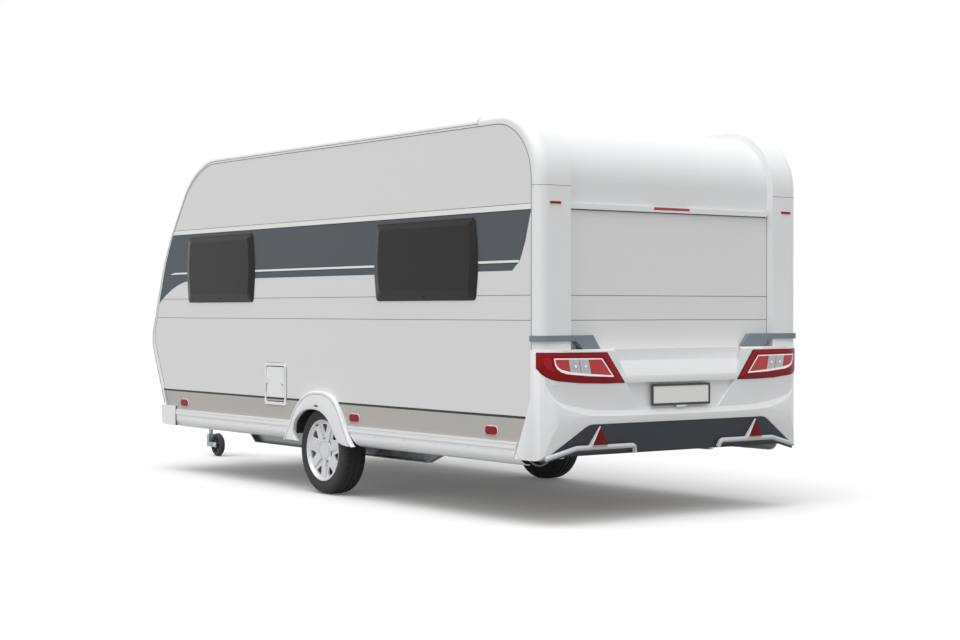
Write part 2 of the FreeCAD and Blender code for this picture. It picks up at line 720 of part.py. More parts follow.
right_wall = Piece("right_wall_sheet")
right_wall.pad("y", -half_width, -inner_y, SEAM_CORNERS)
right_wall.pocket("y", -half_width - d.overrun, -inner_y + d.overrun, arch_loop(), door_loop(),
                  window_loop(d.right_win_x, d.right_win_width, -d.pane_thick),
                  window_loop(d.kitchen_win_x, d.kitchen_win_width, -d.pane_thick))
door_pin_x = door_x + d.door_width - d.door_gap / 2
door_pin_y = -half_width - d.pin_out
door_arm_y = -half_width - d.leaf_thick
fixed_halves, moving_halves = [], []
for word, rise in (("low", d.door_low + d.door_hinge_rise),
                   ("high", door_top - d.door_hinge_rise)):
    fixed, moving = hinge(
        f"door_hinge_{word}", "z", (door_pin_x, door_pin_y, rise),
        ((door_pin_x, door_arm_y), (door_pin_x + d.leaf_length, -half_width)),
        ((door_pin_x - d.leaf_length, door_arm_y), (door_pin_x, -half_width)))
    fixed_halves.append(fixed)
    moving_halves.append(moving)
keep("side_wall_right", fuse("right_wall_hinged", right_wall.body, *fixed_halves))

door = Piece("door_leaf")
door.pad("y", -half_width, -inner_y, door_loop(-d.door_gap))
door_pane = rectangle(door_x + d.door_win_margin, d.roof_top - d.door_win_drop - d.door_win_tall,
                      door_x + d.door_width - d.door_win_margin,
                      d.roof_top - d.door_win_drop, d.pane_round)
door.pocket("y", -half_width - d.overrun, -inner_y + d.overrun, door_pane)
keep("entrance_door", fuse("door_hinged", door.body, *moving_halves))
keep("door_window", prism("door_glass", "y", -half_width, -inner_y, door_pane))
handle_x = door_x + d.door_gap + d.handle_margin
keep("door_handle", block("handle_block",
                          (handle_x, -half_width - d.handle_proud, d.handle_z),
                          (handle_x + d.handle_length, -half_width,
                           d.handle_z + d.handle_high)))

# Service hatch on the left: frame, flap and lined box
hatch_face = half_width + d.frame_proud
hatch_pin_x = hatch_x + d.hatch_width - d.flap_gap / 2
hatch_arm_y = hatch_face + d.leaf_thick
hatch_fixed, hatch_moving = hinge(
    "hatch_hinge", "z",
    (hatch_pin_x, hatch_face + d.pin_out, d.hatch_low + d.hatch_high / 2 - d.knuckle_length),
    ((hatch_pin_x, hatch_face), (hatch_pin_x + d.leaf_length, hatch_arm_y)),
    ((hatch_pin_x - d.leaf_length, hatch_face), (hatch_pin_x, hatch_arm_y)))
frame = Piece("hatch_ring")
frame.pad("y", half_width, hatch_face, hatch_loop(d.hatch_frame), hatch_loop())
keep("hatch_frame", fuse("hatch_frame_hinged", frame.body, hatch_fixed))
flap = prism("flap_plate", "y", hatch_face - d.flap_thick, hatch_face, hatch_loop(-d.flap_gap))
keep("service_flap", fuse("flap_hinged", flap, hatch_moving))

# Side windows and the blinds behind them
LEFT_WINDOWS = [(d.rear_win_x, d.rear_win_width), (d.front_win_x, d.front_win_width)]
RIGHT_WINDOWS = [(d.right_win_x, d.right_win_width), (d.kitchen_win_x, d.kitchen_win_width)]
panes, blinds = [], []
for word, places, out in (("left", LEFT_WINDOWS, True), ("right", RIGHT_WINDOWS, False)):
    for number, (start, width) in enumerate(places, start=1):
        span = (inner_y - d.blind_thick, inner_y)
        if not out:
            span = (-span[1], -span[0])
        panes.append(window_pane(f"pane_{word}{number}", start, width, out))
        blinds.append(prism(f"blind_{word}{number}", "y", *span, window_loop(start, width)))

bumper_half = half_width + d.wing_thick
rear_low_half = bumper_half - d.bumper_shell
rear_wall = Piece("rear_wall")
rear_wall.pad("x", ZERO, d.seam_rear, [
    (-rear_low_half, d.floor_low, None), (rear_low_half, d.floor_low, None),
    (rear_low_half, d.bumper_top, None), (centre_half, d.bumper_top, None),
    (centre_half, trim_low, None), (-centre_half, trim_low, None),
    (-centre_half, d.bumper_top, None), (-rear_low_half, d.bumper_top, None)])
keep("rear_wall", rear_wall)

# Roof and front skins
brow_split = d.brow_x - d.brow_radius / 2
skin = band("skin_shell", -roof_half, roof_half, skin_corners(ZERO), skin_corners(d.skin_thick))
roof_region = block("roof_region", (-d.overrun, -half_width, visor_z),
                    (brow_split, half_width, d.roof_top))
corner_left = block("corner_left", (-d.overrun, centre_half, ZERO),
                    (d.cap_front, half_width, d.roof_top))
corner_right = block("corner_right", (-d.overrun, -half_width, ZERO),
                     (d.cap_front, -centre_half, d.roof_top))
below_trim = block("below_trim", (-d.overrun, -half_width, ZERO),
                   (d.wall_thick + d.overrun, half_width, trim_low))


def dome_loop(start, length, width, grown=ZERO):
    """Return a roof hatch's outline from above, grown by a margin."""
    return rectangle(start - grown, -width / 2 - grown, start + length + grown,
                     width / 2 + grown, d.dome_corner)


DOMES = [(d.hatch_rear_x, d.hatch_rear_length, d.hatch_rear_width),
         (d.hatch_front_x, d.hatch_front_length, d.hatch_front_width)]
dome_holes, domes = [], []
dome_level = (skin_top + d.dome_high / 2).value
for number, (start, length, width) in enumerate(DOMES, start=1):
    dome_holes.append(prism(f"dome_hole{number}", "z", skin_top - d.skin_thick - d.overrun,
                            skin_top + d.overrun, dome_loop(start, length, width, -d.dome_lap)))
    dome = Piece(f"dome{number}")
    dome.pad("z", skin_top, skin_top + d.dome_high, dome_loop(start, length, width))
    dome.round_edges(d.dome_round, lambda edge: edge.CenterOfMass.z > dome_level)
    dome.pocket("z", skin_top - d.overrun, skin_top + d.dome_high - d.lining,
                dome_loop(start, length, width, -d.dome_lap))
    domes.append(dome.body)
roof_cuts = fuse("roof_cuts", corner_left, corner_right, below_trim, *dome_holes)
roof = cut("roof_cut", common("roof_band", skin, roof_region), roof_cuts)
keep("roof_panel", roof)
keep("roof_hatches", compound("domes", *domes))

front_region = block("front_region", (brow_split, -half_width, ZERO),
                     (d.nose_x, half_width, d.roof_top))
front_shell = band("front_shell", -roof_half, roof_half, skin_corners(ZERO),
                   skin_corners(d.front_thick))
nose_outline = rectangle(-nose_win_half, nose_win_low, nose_win_half,
                         nose_win_high, d.nose_win_round)
nose_opening = rectangle(-nose_win_half + d.pane_thick, nose_win_low + d.pane_thick,
                         nose_win_half - d.pane_thick,
                         nose_win_high - d.pane_thick, d.nose_win_round)
nose_hole = prism("nose_hole", "x", brow_split, d.nose_x, nose_opening)


def lid_side(grown):
    """Return the gas locker lid's outline from the side, grown by a margin.

    Its lower edge is square to the front, so that the lid swings clear of the wall.
    """
    low, high = d.lid_low - grown, d.lid_high + grown
    run = d.lid_clear
    return [(d.lid_foot_x - run, low + run * LID_SLANT, None),
            (d.lid_foot_x + run, low - run * LID_SLANT, None),
            (d.nose_x + d.overrun, low - run * LID_SLANT, None),
            (d.nose_x + d.overrun, high, None), (d.lid_foot_x - run, high, None)]


LID_SLANT = d.lid_slant_share.value
lid_half = half_width - d.lid_in
lid_hole = prism("lid_hole", "y", -lid_half, lid_half, lid_side(ZERO))
lid_shell = band("lid_shell", -lid_half + d.lid_gap, lid_half - d.lid_gap, skin_corners(ZERO),
                 skin_corners(d.front_thick))
lid_prism = prism("lid_prism", "y", -lid_half, lid_half, lid_side(-d.lid_gap))
lid_plate = common("lid_plate", lid_shell, lid_prism)
lid_pin = (d.nose_face_x + d.pin_out, d.lid_high + d.lid_gap / 2)
leaf_in, leaf_out = d.nose_face_x - d.leaf_thick, d.nose_face_x + d.leaf_thick
lid_root = d.nose_face_x - d.front_thick
lid_hinge_half = lid_half - d.lid_hinge_in
lid_fixed, lid_moving, lid_notches = [], [], []
for word, start in (("left", lid_hinge_half), ("right", -lid_hinge_half)):
    fixed, moving = hinge(
        f"lid_hinge_{word}", "y", (lid_pin[0], start, lid_pin[1]),
        ((leaf_in, lid_pin[1]), (leaf_out, lid_pin[1] + d.leaf_length)),
        ((leaf_in, lid_pin[1] - d.leaf_length), (leaf_out, lid_pin[1])))
    second = start + d.knuckle_length + d.pin_gap
    lid_fixed += [fixed, block(f"lid_root_{word}_fixed", (lid_root, start, lid_pin[1] + d.lid_gap),
                               (leaf_out, start + d.knuckle_length, lid_pin[1] + d.leaf_length))]
    lid_moving += [moving, block(f"lid_root_{word}_moving",
                                 (lid_root, second, lid_pin[1] - d.leaf_length),
                                 (leaf_out, second + d.knuckle_length, d.lid_high - d.lid_gap))]
    lid_notches.append(block(f"lid_notch_{word}",
                             (leaf_in - d.lid_gap, second - d.pin_gap, d.lid_high - d.overrun),
                             (d.nose_x, second + d.knuckle_length + d.lid_gap,
                              lid_pin[1] + d.lid_gap)))
front = cut("front_cut", common("front_band", front_shell, front_region),
            fuse("front_holes", nose_hole, lid_hole, *lid_notches))
keep("front_wall", fuse("front_hinged", front, *lid_fixed))
keep("locker_lid", fuse("lid_hinged", lid_plate, *lid_moving))

nose_sheet = band("nose_sheet", -roof_half, roof_half, skin_corners(-d.pane_proud),
                  skin_corners(ZERO))
nose_prism = prism("nose_prism", "x", brow_split, d.nose_x + d.overrun, nose_outline)
panes.append(common("nose_pane", nose_sheet, nose_prism))
keep("window_panes", compound("panes", *panes))
blind_sheet = band("blind_sheet", -roof_half, roof_half, skin_corners(d.front_thick),
                   skin_corners(d.front_thick + d.blind_thick))
blind_prism = prism("blind_prism", "x", brow_split, d.nose_x, nose_outline)
blinds.append(common("blind_front", blind_sheet, blind_prism))
keep("window_blinds", compound("blinds", *blinds))

# Linings: the service box behind its hatch, and the gas locker in the nose
service = Piece("service_box")
service.pad("y", inner_y - d.hatch_depth, inner_y, hatch_loop(d.lining))
service.pocket("y", inner_y - d.hatch_depth + d.lining, inner_y + d.overrun, hatch_loop())
cabin_prism = prism("cabin_prism", "y", -inner_y, inner_y, SEAM_CORNERS)
locker_solid = block("locker_solid", (d.locker_back, -inner_y, floor_top),
                     (d.nose_x, inner_y, d.locker_top))
locker_space = block("locker_space", (d.locker_back + d.locker_wall, -inner_y, ZERO),
                     (d.nose_x, inner_y, d.locker_top - d.locker_wall))
locker = cut("locker_walls", common("locker_fit", locker_solid, cabin_prism),
             fuse("locker_cuts", locker_space, front_shell))
keep("locker_linings", compound("linings", service.body, locker))


# Edge mouldings, pillars and caps
OUTER_SHAPE = outline_shape(OUTER_CORNERS)


def edge_moulding():
    """Return the left edge moulding over the roof and down the front."""
    ring = band("moulding_ring", roof_half, half_width, OUTER_CORNERS, SEAM_CORNERS)
    region = block("moulding_region", (d.cap_front, ZERO, ZERO),
                   (d.nose_x, d.body_width, d.roof_top + d.overrun))
    return rounded("moulding_round_left", common("moulding_left", ring, region), lambda edge: (
        (d.moulding_round, d.moulding_round)
        if runs_along(edge, half_width, OUTER_SHAPE, d.seat_gap.value) else None))


pair("edge_mouldings", edge_moulding)


def cap_radii(edge):
    """Return the radii at an edge's ends: the pillar's below, the moulding's on the roof."""
    if not runs_along(edge, half_width, OUTER_SHAPE, d.seat_gap.value):
        return None
    bend = d.roof_top - d.rear_radius
    found = []
    for place in (edge.FirstParameter, edge.LastParameter):
        low = edge.valueAt(place).z < (bend + d.seat_gap).value
        found.append(d.pillar_round if low else d.moulding_round)
    return found


def rear_cap():
    """Return the left cap over the rear top corner."""
    ring = band("cap_ring", centre_half, half_width, OUTER_CORNERS, SEAM_CORNERS)
    region = block("cap_region", (-d.pillar_step - d.overrun, ZERO, cap_low),
                   (d.cap_front, d.body_width, d.roof_top + d.overrun))
    thick = d.wall_thick
    rear, top = -d.pillar_step + thick, d.roof_top - thick
    inside = prism("cap_inside", "y", centre_half + thick, inner_y, [
        (rear, cap_low - d.overrun, None), (d.cap_front - thick, cap_low - d.overrun, None),
        (d.cap_front - thick, top, None), (rear, top, d.rear_radius - thick)])
    solid = rounded("cap_rounded", common("cap_solid", ring, region), cap_radii)
    return cut("cap_left", solid, inside)


pair("rear_caps", rear_cap)

PILLAR_PLAN = [(-d.pillar_step, centre_half, None), (d.seam_rear, centre_half, None),
               (d.seam_rear, half_width, None), (-d.pillar_step, half_width, d.pillar_round)]


def rear_pillar():
    """Return the left rear pillar, a channel open to the cabin and round at its outer corner."""
    thick, front = d.wall_thick, d.seam_rear + d.overrun
    pillar = Piece("pillar_left")
    pillar.pad("z", d.bumper_top, cap_low, PILLAR_PLAN)
    pillar.pocket("z", d.bumper_top - d.overrun, cap_low + d.overrun, [
        (-d.pillar_step + thick, centre_half + thick, None), (front, centre_half + thick, None),
        (front, inner_y, None), (-d.pillar_step + thick, inner_y, d.pillar_round - thick)])
    return pillar.body


pair("rear_pillars", rear_pillar)

trim = Piece("rear_trim")
trim.pad("x", -d.trim_proud, ZERO,
         rectangle(-centre_half + d.trim_gap, trim_low, centre_half - d.trim_gap, trim_high))
trim.pocket("x", -d.trim_proud - d.overrun, -d.brake_light_proud,
            rectangle(-d.brake_light_width / 2, trim_low + d.brake_light_high,
                      d.brake_light_width / 2, trim_high + d.overrun))
keep("rear_trim", trim)


# Rear bumper with its lamps, insert, reflectors, bars and number plate
bumper_centre = d.rear_reach - d.lamp_proud


def bumper_plan(grown=ZERO, back=ZERO):
    """Return the bumper's outline from above, grown by a margin and set forward."""
    edge, centre = d.bumper_edge + grown - back, bumper_centre + grown - back
    half = bumper_half + grown
    bend, bow_y = d.bumper_round + grown, half_width - d.bumper_bow_in
    return [(d.seam_rear, -half, None), (-edge, -half, bend),
            (-centre, -bow_y, d.bumper_bow_round), (-centre, bow_y, d.bumper_bow_round),
            (-edge, half, bend), (d.seam_rear, half, None)]


def bumper_side(shift=ZERO):
    """Return the bumper's outline from the side, moved back by a distance."""
    rear = -bumper_centre - shift
    return [(d.seam_rear, d.bumper_low, None), (rear + d.under_in, d.bumper_low, d.under_round),
            (rear, d.belly_z, d.belly_round), (rear, d.bumper_top, d.bumper_top_round),
            (d.seam_rear, d.bumper_top, None)]


def side_prism(name, shift=ZERO):
    """Return the bumper's side outline carried across the whole width."""
    return prism(name, "y", -bumper_half - d.overrun, bumper_half + d.overrun,
                 bumper_side(shift))


bumper_base = common("bumper_base",
                     prism("bumper_slab", "z", d.bumper_low, d.bumper_top, bumper_plan()),
                     side_prism("bumper_form"))
lamp_slab = prism("lamp_slab", "z", d.bumper_low, d.bumper_top, bumper_plan(d.lamp_proud))


lamp_in_low = d.recess_top_half + d.lamp_gap
lamp_in_top = lamp_in_low + d.lamp_lean


def lamp_outline(grown=ZERO):
    """Return the left lamp cluster's outline from behind, grown by a margin."""
    outer, low, high = bumper_half + d.overrun, d.lamp_low - grown, d.lamp_top + grown
    return [(lamp_in_low - grown * 2, low, None), (bumper_half - d.lamp_bend_in, low, None),
            (outer, d.lamp_outer_low - grown, None), (outer, high, None),
            (lamp_in_top - grown * 2, high, None)]


def rear_lamp():
    """Return the left lamp cluster, which wraps round the corner."""
    shape = prism("lamp_prism", "x", -d.rear_reach - d.overrun, -bumper_centre + d.lamp_depth,
                  lamp_outline())
    return common("lamp_left", shape, lamp_slab)


pair("rear_lamps", rear_lamp)
insert_low_half, insert_top_half = half_width - d.insert_low_in, half_width - d.insert_top_in
insert_prism = prism("insert_prism", "x", -d.rear_reach - d.overrun, d.seam_rear, [
    (-insert_low_half, d.insert_low, None), (insert_low_half, d.insert_low, None),
    (insert_top_half, d.insert_high, d.insert_round),
    (-insert_top_half, d.insert_high, d.insert_round)])
insert = cut("insert_cut", common("insert_fit", insert_prism, bumper_base),
             side_prism("insert_back", -d.insert_depth))
keep("bumper_insert", compound("insert_piece", insert))


def ledge_outline(grown=ZERO):
    """Return the side outline of what the ledge between the lamps takes away."""
    rear, face = -d.rear_reach - d.overrun, -bumper_centre + grown
    return [(rear, d.ledge_low - grown, None), (face, d.ledge_low - grown, None),
            (face + d.ledge_in, d.ledge_high - grown, None),
            (face + d.ledge_in, d.bumper_top + d.overrun, None),
            (rear, d.bumper_top + d.overrun, None)]


def recess_outline(grown=ZERO):
    """Return the number plate recess's outline from behind, grown by a margin."""
    low_half, top_half = d.recess_low_half + grown, d.recess_top_half + grown
    return [(-low_half, d.recess_low - grown, None), (low_half, d.recess_low - grown, None),
            (top_half, d.ledge_low, None), (-top_half, d.ledge_low, None)]


rear_most, shell = -d.rear_reach - d.overrun, d.bumper_shell


def tier_wedge(name, grown=ZERO):
    """Return what the upper tier takes away above its curved shelf, grown by a margin."""
    out = bumper_half + d.overrun * 2
    bend, knee = half_width - d.tier_bend_in, half_width - d.tier_knee_in
    low, top = d.tier_low - grown, d.lamp_low - d.seat_gap
    shape = prism(f"{name}_region", "x", rear_most, -d.pillar_step, [
        (-out, top, None), (-out, d.tier_rise - grown - d.overrun * 2, None),
        (-knee, d.tier_knee - grown, d.tier_round), (-bend, low, d.tier_round),
        (bend, low, d.tier_round), (knee, d.tier_knee - grown, d.tier_round),
        (out, d.tier_rise - grown - d.overrun * 2, None), (out, top, None)])
    form = prism(f"{name}_form", "z", d.tier_low - d.overrun * 4, top + d.overrun,
                 bumper_plan(-grown, d.tier_in))
    return cut(f"{name}_wedge", shape, form)


plate_back = -bumper_centre + d.recess_floor
ledge = prism("ledge_prism", "y", -d.ledge_half, d.ledge_half, ledge_outline())
recess = prism("recess_prism", "x", rear_most, plate_back, recess_outline())
behind = block("bumper_behind", (ZERO, -rear_low_half, ZERO),
               (d.seam_rear + d.overrun, rear_low_half, d.roof_top))
lamp_left = doc.getObject("lamp_left")
lamp_right = mirrored("lamp_hole_right", lamp_left)
lamp_back = -bumper_centre + d.lamp_depth + shell
lamp_housing = prism("lamp_housing", "x", rear_most, lamp_back, lamp_outline(shell))
housings = fuse("bumper_housings", lamp_housing, mirrored("lamp_housing_right", lamp_housing),
                prism("ledge_housing", "y", -d.ledge_half - shell, d.ledge_half + shell,
                      ledge_outline(shell)),
                prism("recess_housing", "x", rear_most, plate_back + shell,
                      recess_outline(shell)), tier_wedge("tier_lining", shell))
inside_slab = prism("bumper_inside", "z", d.bumper_low - d.overrun, d.bumper_top - shell,
                    bumper_plan(-shell))
hollow = cut("bumper_hollow", common("bumper_space", inside_slab,
                                     side_prism("bumper_lining", -shell)), housings)
bumper = cut("bumper_cut", bumper_base, fuse("bumper_holes", lamp_left, lamp_right, insert,
                                             ledge, recess, behind, hollow, tier_wedge("tier")))


def wing_outline():
    """Return the bumper's wing along the body side, which ends on a slant."""
    return [(d.seam_rear, d.bumper_low, None), (d.wing_front, d.bumper_low, None),
            (d.seam_rear, d.wing_high, None)]


wing_left = prism("wing_left", "y", half_width, bumper_half, wing_outline())
wing_right = prism("wing_right", "y", -bumper_half, -half_width, wing_outline())
keep("rear_bumper", fuse("bumper_winged", bumper, wing_left, wing_right))
keep("number_plate", block(
    "plate_block", (plate_back - d.plate_thick, -d.plate_width / 2, d.plate_z - d.plate_high / 2),
    (plate_back, d.plate_width / 2, d.plate_z + d.plate_high / 2)))


def proud_of_bumper(name, outline, proud):
    """Return a prism that follows the bumper's side outline and stands proud of it."""
    shape = prism(f"{name}_prism", "x", -d.rear_reach - d.bar_proud, d.seam_rear, outline)
    outer = common(f"{name}_outer", shape, side_prism(f"{name}_face", proud))
    return cut(f"{name}_left", outer, side_prism(f"{name}_back"))


def reflector():
    """Return the left triangle reflector."""
    middle = half_width - d.triangle_in
    return proud_of_bumper("triangle", [
        (middle - d.triangle_half, d.triangle_low, None),
        (middle + d.triangle_half, d.triangle_low, None),
        (middle, d.triangle_high, None)], d.triangle_proud)


pair("rear_reflectors", reflector)


def bumper_bar():
    """Return the left bar along the bumper's lower edge."""
    wide = d.bar_width
    outer, bend = half_width - d.bar_outer_in, half_width - d.bar_bend_in
    inner = half_width - d.bar_inner_in
    return proud_of_bumper("bar", [
        (outer, d.bar_low - wide, None), (outer, d.bar_low, None),
        (bend, d.bar_high, None), (inner, d.bar_high, None),
        (inner - wide, d.bar_low - wide, None), (inner, d.bar_low - wide, None),
        (inner + wide, d.bar_high - wide, None), (bend, d.bar_high - wide, None)], d.bar_proud)


pair("bumper_bars", bumper_bar)


def rear_strip():
    """Return the left strip that runs from the pillar down to the bumper."""
    proud, outer = d.strip_proud, half_width + d.strip_proud
    top_in, low_in = half_width - d.strip_top_in, half_width - d.strip_low_in
    foot = half_width - d.strip_foot_in
    shape = prism("strip_prism", "x", -d.pillar_step - d.overrun, d.seam_rear, [
        (outer, d.strip_mid, None), (outer, d.strip_top, None), (top_in, d.strip_top, None),
        (low_in, d.bumper_top, None), (foot, d.bumper_top, None),
        (foot + d.strip_mid - d.bumper_top, d.strip_mid, None)])
    plan = prism("strip_plan", "z", d.bumper_top, d.strip_top, [
        (ZERO, low_in, None), (-d.strip_thick, low_in, None),
        (-d.pillar_step - proud, centre_half, None),
        (-d.pillar_step - proud, outer, d.pillar_round + proud), (d.seam_rear, outer, None),
        (d.seam_rear, half_width, None), (ZERO, half_width, None)])
    pillar = prism("strip_pillar", "z", d.bumper_top - d.overrun, cap_low, PILLAR_PLAN)
    return cut("strip_left", common("strip_fit", shape, plan), pillar)


pair("rear_strips", rear_strip)


# Wheel housings, spats, skirts, front corners and side markers
def wheel_tub():
    """Return the left wheel housing, an arched shell closed towards the cabin."""
    tub = Piece("tub_left")
    tub.pad("y", tub_inner_y, inner_y, arch_loop(d.tub_thick))
    tub.pocket("y", tub_inner_y + d.tub_thick, inner_y + d.overrun, carried_arch())
    return tub.body


def carried_arch():
    """Return the housing's inner outline, carried on below the shell."""
    low = d.floor_low - d.overrun * 2
    loop = arch_loop()
    return [(loop[0][0], low, None), (loop[1][0], low, None), loop[2], loop[3]]


pair("wheel_tubs", wheel_tub)

SPAT = [(d.axle_x - d.spat_foot_half, d.spat_foot, None),
        (d.axle_x + d.spat_foot_half, d.spat_foot, None),
        (d.axle_x + d.spat_half, d.spat_knee, None),
        (d.axle_x + d.spat_crown_half, d.spat_top, d.spat_round),
        (d.axle_x - d.spat_crown_half, d.spat_top, d.spat_round),
        (d.axle_x - d.spat_half, d.spat_knee, None)]


SPAT_SHAPE = outline_shape(SPAT)


def wheel_spat():
    """Return the left spat, which frames the wheel opening."""
    low = d.spat_foot - d.overrun
    spat = Piece("spat_left")
    spat.pad("y", half_width, half_width + d.spat_proud, SPAT)
    spat.pocket("y", half_width - d.overrun, half_width + d.spat_proud + d.overrun, [
        (d.axle_x - d.open_foot_half, low, None), (d.axle_x + d.open_foot_half, low, None),
        (d.axle_x + d.open_half, d.open_knee, None),
        (d.axle_x + d.open_crown_half, d.open_top, d.open_round),
        (d.axle_x - d.open_crown_half, d.open_top, d.open_round),
        (d.axle_x - d.open_half, d.open_knee, None)])
    face = half_width + d.spat_proud
    spat.round_edges(d.spat_bevel, lambda edge: runs_along(edge, face, SPAT_SHAPE,
                                                           d.seat_gap.value)
                     and edge.CenterOfMass.z > d.spat_foot.value + d.overrun.value)
    return spat.body


pair("wheel_spats", wheel_spat)


def side_skirt():
    """Return the left skirt rail, cut where the spat and the bumper's wing stand."""
    outer, low, thick = half_width, d.skirt_low, d.skirt_thick
    bead, groove_high = outer + d.rail_strip_proud, d.rail_strip_high - d.bead_high
    profile = [
        (outer, d.rail_strip_high, None), (bead, d.rail_strip_high, None),
        (bead, groove_high, None), (bead - d.groove_deep, groove_high, None),
        (bead - d.groove_deep, groove_high - d.groove_high, None),
        (bead, groove_high - d.groove_high, None), (bead, d.rail_strip_low, None),
        (outer + thick, d.rail_strip_low, None), (outer + thick, low, d.skirt_round),
        (outer - d.skirt_in, low, None), (outer - d.skirt_in, low + thick, None),
        (outer, low + thick, d.skirt_round - thick)]
    rail = prism("skirt_rail", "x", d.skirt_rear, d.skirt_front, profile)
    inner, beyond = outer - d.skirt_in - d.overrun, outer + d.spat_proud
    spat_zone = prism("skirt_spat_zone", "y", inner, beyond, SPAT)
    wing_zone = prism("skirt_wing_zone", "y", inner, beyond, wing_outline())
    return cut("skirt_left", rail, fuse("skirt_cuts", spat_zone, wing_zone))


pair("side_skirts", side_skirt)


def front_corner():
    """Return the left lower corner piece in front."""
    outline = [(d.skirt_front, d.corner_low, None), (d.corner_front, d.corner_low, d.corner_round),
               (d.corner_front, d.corner_top, None), (d.skirt_front, d.corner_top, None)]
    outer = half_width + d.corner_proud
    shape = prism("corner_form", "y", outer - d.corner_width, outer, outline)
    inside = fuse("corner_inside", prism("corner_body", "y", ZERO, half_width, OUTER_CORNERS),
                  prism("corner_skin", "y", ZERO, roof_half, skin_corners(ZERO)))
    return cut("front_corner_left", shape, inside)


pair("front_corners", front_corner)


def marker_lamps():
    """Return the left marker lamps: three along the skirt and one on the rear pillar."""
    half = d.marker_high / 2
    loops = [rectangle(place - d.marker_length / 2, d.marker_z - half,
                       place + d.marker_length / 2, d.marker_z + half, half * MARKER_ROUND)
             for place in (d.marker_rear_x, d.axle_x - d.marker_mid_back, d.marker_front_x)]
    outer, top = half_width - d.marker_in, d.roof_top - d.marker_drop
    rear = block("marker_rear",
                 (-d.pillar_step - d.marker_thick, outer - d.marker_wide, top - d.marker_tall),
                 (-d.pillar_step, outer, top))
    return compound("markers_left", rear, *[
        prism(f"marker_left{number}", "y", half_width, half_width + d.marker_proud, loop)
        for number, loop in enumerate(loops, start=1)])


MARKER_ROUND = d.marker_round_share.value
pair("marker_lamps", marker_lamps)


# Chassis
def chassis_rail():
    """Return the left longitudinal, a channel that deepens towards the axle."""
    low = rail_low
    shallow = d.floor_low - d.rail_shallow
    outline = [
        (d.rail_rear_x, shallow, None), (d.rail_taper_rear, shallow, None),
        (d.rail_taper_rear + d.rail_taper_run * 2, low, None), (d.rail_taper_front, low, None),
        (d.rail_taper_front + d.rail_taper_run, shallow, None), (d.rail_front_x, shallow, None),
        (d.rail_front_x, d.floor_low, None), (d.rail_rear_x, d.floor_low, None)]
    plate = d.rail_plate
    inside = [
        (d.rail_rear_x - d.overrun, shallow + plate, None),
        (d.rail_taper_rear + plate, shallow + plate, None),
        (d.rail_taper_rear + d.rail_taper_run * 2 + plate, low + plate, None),
        (d.rail_taper_front - plate, low + plate, None),
        (d.rail_taper_front + d.rail_taper_run - plate, shallow + plate, None),
        (d.rail_front_x + d.overrun, shallow + plate, None),
        (d.rail_front_x + d.overrun, d.floor_low - plate, None),
        (d.rail_rear_x - d.overrun, d.floor_low - plate, None)]
    rail = Piece("rail_left")
    rail.pad("y", rail_y, rail_y + d.rail_flange, outline)
    rail.pocket("y", rail_y + plate, rail_y + d.rail_flange + d.overrun, inside)
    rail.pocket("y", rail_y - d.overrun, rail_y + d.rail_flange + d.overrun,
                (d.axle_x + d.tube_ahead, d.axle_z, d.tube_radius + d.seat_gap))
    return rail.body


pair("chassis_rails", chassis_rail)

cross_bars = []
for number, place in enumerate((d.cross_rear_x, d.cross_mid_x, d.cross_front_x), start=1):
    cross_bars.append(block(f"cross_bar{number}",
                            (place, -rail_y, d.floor_low - d.cross_high),
                            (place + d.cross_width, rail_y, d.floor_low)))
keep("cross_members", compound("cross_bars", *cross_bars))


def drawbar_arm():
    """Return the left arm of the drawbar, which runs in to the coupling."""
    arm = Piece("arm_left")
    arm.pad("z", d.arm_low, d.arm_low + d.arm_high,
            [(d.arm_start_x, rail_y - d.arm_width, None),
             (d.arm_end_x, d.arm_end_y - d.arm_width, None),
             (d.arm_end_x, d.arm_end_y, None), (d.arm_start_x, rail_y, None)])
    tube_way = rod("arm_tube_way", "x", (d.head_tube_rear - d.overrun, ZERO, d.head_z),
                   d.head_tube_radius + d.seat_gap, d.arm_end_x - d.head_tube_rear + d.overrun * 2)
    return cut("arm_left_cut", arm.body, tube_way)


pair("drawbar_arms", drawbar_arm)

overrun_unit = Piece("overrun_unit")
overrun_unit.revolve("y", ZERO, [
    (d.head_tube_rear, d.head_z, None), (d.ball_x - d.neck_radius, d.head_z, None),
    (d.ball_x - d.neck_radius, d.head_z + d.head_tube_radius, None),
    (d.house_front, d.head_z + d.head_tube_radius, None),
    (d.house_front, d.head_z + d.house_radius, None),
    (d.arm_end_x + d.house_flange_thick, d.head_z + d.house_radius, None),
    (d.arm_end_x + d.house_flange_thick, d.head_z + d.house_flange, None),
    (d.arm_end_x, d.head_z + d.house_flange, None),
    (d.arm_end_x, d.head_z + d.head_tube_radius, None),
    (d.head_tube_rear, d.head_z + d.head_tube_radius, None)],
    ((d.head_tube_rear, d.head_z), (d.ball_x, d.head_z)))
keep("overrun_unit", overrun_unit)

